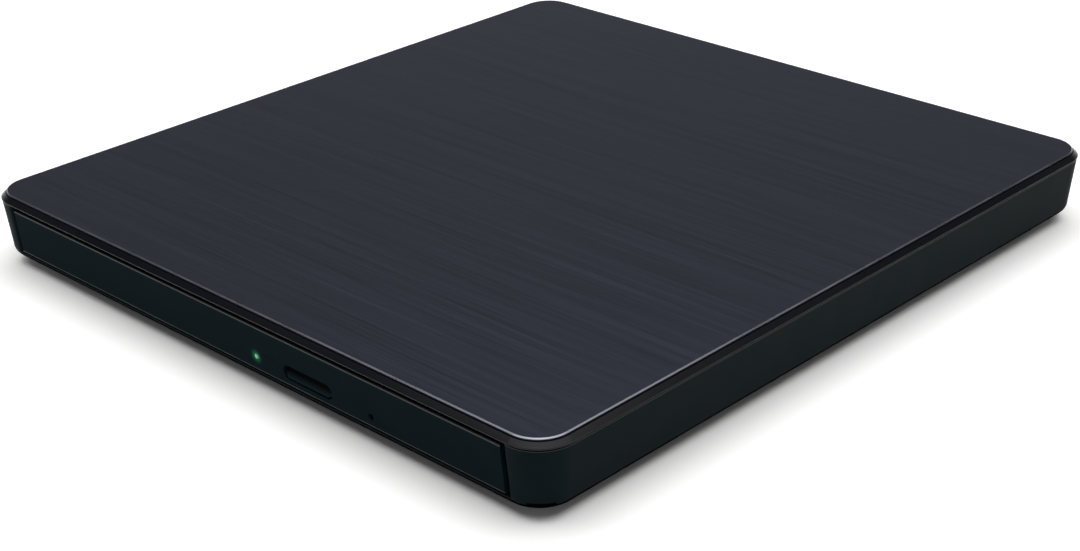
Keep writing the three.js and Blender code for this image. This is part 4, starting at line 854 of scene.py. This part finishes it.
class WRITER_OT_top_cover(bpy.types.Operator):
    """Adds the cover with its glossy sloping band, inner plate, rib and screw bosses"""

    bl_idname = "writer.top_cover"
    bl_label = "Top Cover"

    def execute(self, context):
        sizes = context.scene.writer_sizes
        low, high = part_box("top_cover")
        lip_top = high.z - sizes.band_height
        lip_foot = lip_top - sizes.lip_height
        cover = block("cover", (low.x, low.y, lip_foot), (high.x, high.y, lip_top))
        paint(cover, gloss_black_abs, bright_black_edge)
        round_along(cover, "Z", sizes.lip_corner, 20)
        edit(cover)
        pick("faces", looks_up)
        bpy.ops.mesh.inset(thickness=sizes.band_width, depth=sizes.band_height)
        pick("edges", both_ends(lambda place: abs(place.z - lip_top) < CLOSE))
        bevel(0.05 * MM, 2)
        # Painted sheen: the lip's rounded lower edge gets the edge material, as a thin pale line
        pick("edges", both_ends(lambda place: place.z < lip_foot + CLOSE))
        bevel(0.06 * MM, 2, 1)
        plate = solid("plate", COVER_PLATE)
        round_along(plate, "Z", 3.3 * MM, 8)
        bosses = []
        for x in (-SCREW_X, SCREW_X):
            boss = rod("boss", mm(x, CASE_SCREW_Y, 9.3), 2.4 * MM, 6.4 * MM)
            bore = rod("bore", mm(x, CASE_SCREW_Y, 8), SHANK_RADIUS, 8 * MM, sides=24)
            bosses.append(combine(boss, bore))
        combine(cover, plate, solid("rib", COVER_RIB), *bosses, way="UNION")
        fit(cover, None, "enclosure", "gloss_black", "top_cover")
        return {"FINISHED"}


class WRITER_OT_bottom_case(bpy.types.Operator):
    """Adds the open case: leaning walls, rolled lower edge, front opening, port and bosses"""

    bl_idname = "writer.bottom_case"
    bl_label = "Bottom Case"

    def execute(self, context):
        sizes = context.scene.writer_sizes
        case = self.outside(sizes)
        cavity, port = solid("cavity", CAVITY), solid("port", PORT)
        round_along(cavity, "Z", 1.2 * MM, 4)
        round_along(port, "Y", 0.8 * MM, 5)
        combine(case, cavity, solid("mouth", MOUTH), port)
        self.add_bosses(case)
        self.round_openings(case, sizes)
        soften(case, 0.1 * MM, angle=50)
        fit(case, None, "enclosure", "black_plastic", "bottom_case", smooth=40)
        return {"FINISHED"}

    def outside(self, sizes):
        """Solid case with leaning walls, its lower edge rolled in towards the floor in steps"""
        low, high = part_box("bottom_case")
        rim_foot = high.z - 0.3 * MM
        wall_foot = low.z + sizes.undercut_height
        case = block("case", (low.x, low.y, rim_foot), high)
        paint(case, satin_black_abs, bright_black_edge, rolled_black_abs, eroded_black_abs)
        round_along(case, "Z", sizes.wall_corner, 20)
        edit(case)
        pick("faces", looks_down)
        bpy.ops.mesh.inset(thickness=sizes.wall_draft, depth=rim_foot - wall_foot)
        half_x, half_y = high.x - sizes.wall_draft, high.y - sizes.wall_draft
        inset, height = 0, wall_foot
        for step in range(1, ROLL_STEPS + 1):
            angle = pi / 2 * step / ROLL_STEPS
            next_inset = sizes.undercut_depth * (1 - cos(angle)) ** ROLL_POWER
            next_height = wall_foot - sizes.undercut_height * sin(angle)
            shrink_x = (half_x - next_inset) / (half_x - inset)
            shrink_y = (half_y - next_inset) / (half_y - inset)
            extrude((0, 0, next_height - height), (shrink_x, shrink_y, 1))
            inset, height = next_inset, next_height
        # Painted shade: the rolled lower edge gets the near-black material
        assign(2, lambda face: -SQUARE < face.normal.z <= -0.25)
        assign(3, lambda face: face.normal.z <= -SQUARE)
        return case

    def add_bosses(self, case):
        """Bored bosses for the screws, and pegs for the board behind the drive"""
        for x in (-SCREW_X, SCREW_X):
            boss = rod("boss", mm(x, CASE_SCREW_Y, 3.9), 3.1 * MM, 3.4 * MM)
            combine(case, boss, way="UNION")
            combine(
                case,
                rod("head", mm(x, CASE_SCREW_Y, 0.7), HEAD_RADIUS, 3 * MM),
                rod("shank", mm(x, CASE_SCREW_Y, 4), SHANK_RADIUS, 9 * MM, sides=24),
                rod("head", mm(x, DRIVE_SCREW_Y, 0.35), HEAD_RADIUS, 3 * MM),
                rod("shank", mm(x, DRIVE_SCREW_Y, 2), SHANK_RADIUS, 4 * MM, sides=24),
            )
        for x, y in PEG_PLACES:
            post = rod("post", mm(x, y, 3.15), 1.6 * MM, 1.9 * MM, sides=32)
            peg = rod("peg", mm(x, y, 4.3), PEG_RADIUS, 2.4 * MM, sides=24)
            combine(case, post, peg, way="UNION")

    def round_openings(self, case, sizes):
        """Rounds the two posts beside the bezel and gives the edge round the rim a painted sheen"""
        rim_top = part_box("bottom_case")[1].z

        def beside_bezel(edge):
            low, high = sorted(vertex.co.z for vertex in edge.verts)
            in_front = both_ends(
                lambda place: abs(abs(place.x) - MOUTH_HALF * MM) < CLOSE and place.y < -70.5 * MM
            )
            above_sill = (low + high) / 2 > (MOUTH_SILL + 0.05) * MM
            return in_front(edge) and above_sill and high - low > 0.05 * MM

        def round_rim(edge):
            on_rim = both_ends(lambda place: place.z > rim_top - 0.01 * MM)
            outer = [
                face.normal.z < 0.5 and face.normal.xy.dot(face.calc_center_median().xy) > 0
                for face in edge.link_faces
            ]
            return on_rim(edge) and any(outer) and any(f.normal.z > 0.9 for f in edge.link_faces)

        edit(case)
        pick("edges", beside_bezel)
        bevel(sizes.post_edge, 4)
        # Painted sheen: the rim's rounded outer edge gets the edge material
        pick("edges", round_rim)
        bevel(0.1 * MM, 2, 1)


class WRITER_OT_feet(bpy.types.Operator):
    """Adds the four rubber feet, each with a rounded rim and a shallow dish"""

    bl_idname = "writer.feet"
    bl_label = "Feet"

    def execute(self, context):
        rim = outline((4.1, 0.0), (4.33, 0.07), (4.4, 0.25), (4.4, 0.85), (4.25, 1.1))
        profile = outline((3.0, 0.12), (3.3, 0.0)) + rim
        for number, (side, end) in enumerate(((-1, -1), (1, -1), (-1, 1), (1, 1)), 1):
            place = mm(side * FOOT_X, end * FOOT_Y, 0)
            foot = turned(f"foot_{number}", place, profile)
            fit(foot, foot_rubber, "enclosure", "rubber", f"rubber_foot_{number}")
        return {"FINISHED"}


class WRITER_OT_bezel(bpy.types.Operator):
    """Adds the bezel with its openings, the eject button in its slot and the light pipe"""

    bl_idname = "writer.bezel"
    bl_label = "Bezel"

    def execute(self, context):
        sizes = context.scene.writer_sizes
        self.add_bezel(sizes)
        self.add_button(sizes)
        profile = outline(
            (0.5, -1.6), (0.55, -1.5), (0.55, 4.9), (0.5, 5.0), (0.4, 5.07), (0.2, 5.11)
        )
        pipe = turned("light_pipe", mm(LIGHT[0], -66.7, LIGHT[1]), profile, "Y", 32)
        fit(pipe, status_light, "tray_unit", "green_light", "led_light_pipe")
        return {"FINISHED"}

    def add_bezel(self, sizes):
        """Bezel whose face leans back at its foot, with slot, light hole and pinhole"""
        low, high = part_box("bezel")
        bezel = block("bezel_front", low, high)
        paint(bezel, bezel_black_abs, bright_black_edge)
        edit(bezel)
        foot = low + mm(0, 0.1, 0.1)
        pick("verts", lambda vertex: vertex.co.y < foot.y and vertex.co.z < foot.z)
        bpy.ops.transform.translate(value=(0, sizes.bezel_lean, 0))
        # Painted sheen: the face's long rounded edges get the edge material, as thin pale lines
        pick("edges", lambda edge: runs_along(edge, "X") and edge.verts[0].co.y < -71 * MM)
        bevel(sizes.bezel_edge, 4, 1)
        slot = solid("slot", BUTTON_SLOT)
        round_along(slot, "Y", 1.295 * MM, 12)
        hole = rod("hole", mm(LIGHT[0], -71, LIGHT[1]), 0.65 * MM, 9 * MM, "Y", 32)
        pinhole = rod("pinhole", mm(PINHOLE[0], -71, PINHOLE[1]), 0.55 * MM, 9 * MM, "Y", 32)
        combine(bezel, solid("hollow", BEZEL_HOLLOW), slot, hole, pinhole)

        (left, right), (bottom, top) = OPENINGS
        in_face = both_ends(
            lambda place: place.y < -71.5 * MM
            and left * MM < place.x < right * MM
            and bottom * MM < place.z < top * MM
        )
        edit(bezel)
        pick("edges", lambda edge: in_face(edge) and edge.calc_face_angle(0) > 0.7)
        bevel(sizes.slot_edge, 3)
        soften(bezel, 0.1 * MM, angle=60)
        fit(bezel, None, "tray_unit", "black_plastic", "bezel")

    def add_button(self, sizes):
        """Button whose rounded cap leans back at its top, on a stem behind the bezel"""
        cap = solid("button_cap", BUTTON_CAP)
        middle = (mm(*BUTTON_CAP[0]) + mm(*BUTTON_CAP[1])) / 2
        face_y = BUTTON_CAP[0][1] * MM
        round_along(cap, "Y", 1.095 * MM, 12)
        paint(cap, button_black_abs, bright_black_edge)
        edit(cap)
        pick("verts", lambda vertex: vertex.co.y < face_y + 0.1 * MM)
        bpy.ops.transform.rotate(
            value=radians(22), orient_axis="X", center_override=(middle.x, face_y, middle.z)
        )
        pick("edges", both_ends(lambda place: place.y < face_y + 0.55 * MM))
        bevel(sizes.button_edge, 4)
        # Painted glint: only the bevel's upper right end gets the edge material with its painted
        # sheen
        assign(
            1,
            lambda face: face.normal.x > 0.5 and -0.9 < face.normal.y < -0.2 and face.normal.z > 0,
        )
        combine(cap, solid("flange", BUTTON_FLANGE), solid("stem", BUTTON_STEM), way="UNION")
        fit(cap, None, "button", "black_plastic", "eject_button")


class WRITER_OT_usb(bpy.types.Operator):
    """Adds the inlet at the back: its folded steel shell, tongue and gold contacts"""

    bl_idname = "writer.usb"
    bl_label = "USB Inlet"

    def execute(self, context):
        low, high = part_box("usb_socket")
        wall = 0.35 * MM
        shell = block("usb_shell", low, high)
        inner_low = (low.x + wall, low.y + 0.8 * MM, low.z + wall)
        inner_high = (high.x - wall, high.y + PAST * MM, high.z - wall)
        inner = block("inner", inner_low, inner_high)
        for part, less in ((shell, 0), (inner, wall * 0.6)):
            round_along(part, "Y", 1.1 * MM - less, 3, both_ends(lambda place: place.z < 7 * MM))
            tight = 0.5 * MM - less / 2
            round_along(part, "Y", tight, 3, both_ends(lambda place: place.z > 8.5 * MM))
        combine(shell, inner)
        soften(shell, 0.06 * MM, angle=50)
        fit(shell, spring_steel, "enclosure", "steel", "usb_socket")
        middle = (low + high) / 2
        tongue = block(
            "usb_tongue",
            (middle.x - 2.3 * MM, low.y + 0.5 * MM, middle.z - 0.45 * MM),
            (middle.x + 2.3 * MM, high.y - 0.8 * MM, middle.z + 0.45 * MM),
        )
        soften(tongue, 0.12 * MM)
        fit(tongue, connector_nylon, "enclosure", "connector_plastic")
        for number in range(5):
            left = middle.x + (0.8 * number - 1.8) * MM
            pad = block(
                f"usb_contact_{number + 1}",
                (left, middle.y - 1 * MM, middle.z + 0.4 * MM),
                (left + 0.4 * MM, high.y - 1.2 * MM, middle.z + 0.53 * MM),
            )
            soften(pad, 0.03 * MM)
            fit(pad, gold_plate, "enclosure", "steel")
        return {"FINISHED"}


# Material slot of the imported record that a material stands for
SLOTS = {
    dark_steel: "dark_steel",
    spring_steel: "steel",
    connector_nylon: "connector_plastic",
    tray_polycarbonate: "tray_plastic",
    foot_rubber: "rubber",
    solder_mask: "circuit_board",
    copper_wire: "copper",
    polyimide_film: "amber_film",
    screw_thread: "steel",
}

# Upper face of each board in millimetres, with its chips above it
BOARD_TOPS = {"bridge_board": 5.2, "main_board": 4.8}

SIDES = ("left", "right")
THREE = (1, 2, 3)
# Frame node, name of the piece, its material, the rounding of its edges in millimetres and, for
# parts that come more than once, what stands in the braces
INNER_PARTS = (
    ("case_screw_{}", "case_screw_{}_head", dark_steel, 0.15, SIDES),
    ("drive_screw_{}", "drive_screw_{}_head", dark_steel, 0.12, SIDES),
    ("bridge_board", "bridge_circuit", solder_mask, 0.05),
    ("sata_plug", "data_plug", connector_nylon, 0.12),
    ("drive_base", "chassis_pan", spring_steel, 0.12),
    ("drive_cover", "chassis_lid", spring_steel, 0.08),
    ("rail_guide_{}", "guide_{}", connector_nylon, 0.12, SIDES),
    ("lock_post", "catch_post", dark_steel, 0.12),
    ("main_board", "main_circuit", solder_mask, 0.05),
    ("sata_socket", "data_socket", connector_nylon, 0.12),
    ("flex_cable", "flex_strip", polyimide_film, 0.0),
    ("rail_{}", "slide_rail_{}", spring_steel, 0.1, SIDES),
    ("tray", "tray_body", tray_polycarbonate, 0.12),
    ("switch_board", "switch_circuit", solder_mask, 0.05),
    ("eject_switch", "switch_body", dark_steel, 0.1),
    ("tray_bottom_plate", "tray_under_plate", spring_steel, 0.05),
    ("lock_solenoid", "catch_coil", copper_wire, 0.2),
    ("eject_spring", "pusher_spring", spring_steel, 0.0),
    ("traverse_frame", "traverse_chassis", dark_steel, 0.06),
    ("traverse_cover", "well_cover", tray_polycarbonate, 0.1),
    ("damper_{}", "mount_{}", foot_rubber, 0.1, THREE),
    ("damper_screw_{}", "mount_screw_{}", spring_steel, 0.08, THREE),
    ("guide_rod_{}", "sled_rod_{}", spring_steel, 0.12, ("main", "sub")),
    ("spindle_base", "motor_plate", dark_steel, 0.08),
    ("stator", "motor_windings", copper_wire, 0.15),
    ("sled_motor", "sled_drive_motor", dark_steel, 0.15),
    ("disc_claw_{}", "claw_tip_{}", connector_nylon, 0.1, THREE),
    ("pickup_carriage", "sled_body", dark_steel, 0.12),
    ("lens_holder", "lens_carrier", tray_polycarbonate, 0.12),
    ("lead_screw", "sled_screw", screw_thread, 0.1),
    ("lock_lever", "catch_lever", connector_nylon, 0.12),
    ("lock_plunger", "catch_plunger", spring_steel, 0.12),
    ("eject_pusher", "push_rod", spring_steel, 0.1),
)

# Frame node of each lens and name of the piece
LENSES = (("objective_lens_blue", "lens_small"), ("objective_lens_red", "lens_large"))


class WRITER_OT_inner_parts(bpy.types.Operator):
    """Rounds the edges of the parts inside the drive and gives them their materials"""

    bl_idname = "writer.inner_parts"
    bl_label = "Inner Parts"

    def execute(self, context):
        for node, name, material, edge, *endings in INNER_PARTS:
            for ending in endings[0] if endings else ("",):
                self.add_part(node.format(ending), name.format(ending), material, edge)
        return {"FINISHED"}

    def add_part(self, node, name, material, edge):
        """Copy of a frame node with rounded edges, its chips painted if it is a board"""
        part = merged_copy(node, name)
        if edge:
            soften(part, edge * MM)
        paint(part, material)
        if node in BOARD_TOPS:
            paint(part, material, epoxy_resin)
            chip_foot = (BOARD_TOPS[node] + 0.1) * MM
            edit(part)
            assign(1, lambda face: face.calc_center_median().z > chip_foot)
        fit(part, None, body_of(node), SLOTS[material], node)


class WRITER_OT_turntable(bpy.types.Operator):
    """Adds the rotor cup with its slotted hub and shaft, and the rubber ring that grips the disc"""

    bl_idname = "writer.turntable"
    bl_label = "Turntable"

    def execute(self, context):
        place = mm(*SPINDLE, 0)
        cup = outline((11.4, 4.9), (11.5, 5.0), (11.5, 8.08), (11.38, 8.2), (7.5, 8.2), (7.4, 8.3))
        hub = outline((7.4, 9.5), (7.32, 9.66), (6.75, 10.02), (6.5, 10.15), (6.3, 10.2))
        top = outline((2.2, 10.2), (1.7, 9.9))
        rotor = turned("disc_hub", place, cup + hub + top, sides=96)
        hollow = rod("hollow", mm(*SPINDLE, 4.7), 10.7 * MM, 5.6 * MM, sides=96)
        combine(rotor, hollow)
        combine(rotor, rod("shaft", mm(*SPINDLE, 6.4), 1.5 * MM, 3.2 * MM), way="UNION")
        for number in THREE:
            low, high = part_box(f"disc_claw_{number}")
            away = (low + high) / 2 - place
            slot = block("slot", mm(4.2, -1.5, 8.5), mm(7.4 + PAST, 1.5, 10.2 + PAST))
            turn = Matrix.Rotation(atan2(away.y, away.x), 4, "Z")
            slot.matrix_world = Matrix.Translation(place) @ turn
            combine(rotor, settle(slot))
        soften(rotor, 0.08 * MM, angle=50)
        fit(rotor, spring_steel, body_of("turntable"), "steel", "turntable")

        ring = outline((11.1, 8.22), (11.2, 8.32), (11.2, 8.78), (11.08, 8.9))
        grip = turned("disc_grip", place, ring, sides=96)
        combine(grip, rod("hole", mm(*SPINDLE, 8.5), 9 * MM, 3 * MM, sides=96))
        soften(grip, 0.1 * MM, 3, 50)
        fit(grip, foot_rubber, body_of("turntable_pad"), "rubber", "turntable_pad")
        return {"FINISHED"}


class WRITER_OT_lenses(bpy.types.Operator):
    """Adds the two domed lenses of the pickup"""

    bl_idname = "writer.lenses"
    bl_label = "Lenses"

    def execute(self, context):
        for node, name in LENSES:
            low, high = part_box(node)
            radius = (high.x - low.x) / 2
            height = high.z - low.z
            rim = height * 0.45
            profile = [(radius * 0.94, 0), (radius, height * 0.06), (radius, rim)]
            for step in range(1, 9):
                angle = pi / 2 * step / 8.5
                profile.append((radius * 0.96 * cos(angle), rim + (height - rim) * sin(angle)))
            middle = (low + high) / 2
            lens = turned(name, (middle.x, middle.y, low.z), profile, sides=48)
            fit(lens, lens_glass, body_of(node), "lens_glass", node)
        return {"FINISHED"}


OPERATORS = (
    WRITER_OT_studio,
    WRITER_OT_top_panel,
    WRITER_OT_top_cover,
    WRITER_OT_bottom_case,
    WRITER_OT_feet,
    WRITER_OT_bezel,
    WRITER_OT_usb,
    WRITER_OT_inner_parts,
    WRITER_OT_turntable,
    WRITER_OT_lenses,
)


class WRITER_PT_panel(bpy.types.Panel):
    """Lists the pieces and the studio"""

    bl_idname = "WRITER_PT_panel"
    bl_label = "Disc Writer"
    bl_space_type = "VIEW_3D"
    bl_region_type = "UI"
    bl_category = "Disc Writer"

    def draw(self, context):
        for operator in OPERATORS:
            self.layout.operator(operator.bl_idname)


PROPERTIES = {
    "writer_sizes": WriterSizes,
    "writer_colours": WriterColours,
    "writer_studio": WriterStudio,
}


def register():
    for name, group in PROPERTIES.items():
        bpy.utils.register_class(group)
        setattr(bpy.types.Scene, name, bpy.props.PointerProperty(type=group))
    for operator in OPERATORS:
        bpy.utils.register_class(operator)
    bpy.utils.register_class(WRITER_PT_panel)


def unregister():
    bpy.utils.unregister_class(WRITER_PT_panel)
    for operator in reversed(OPERATORS):
        bpy.utils.unregister_class(operator)
    for name, group in PROPERTIES.items():
        delattr(bpy.types.Scene, name)
        bpy.utils.unregister_class(group)


def main():
    register()
    for operator in OPERATORS:
        group, name = operator.bl_idname.split(".")
        getattr(getattr(bpy.ops, group), name)()
    deselect()


if __name__ == "__main__":
    main()
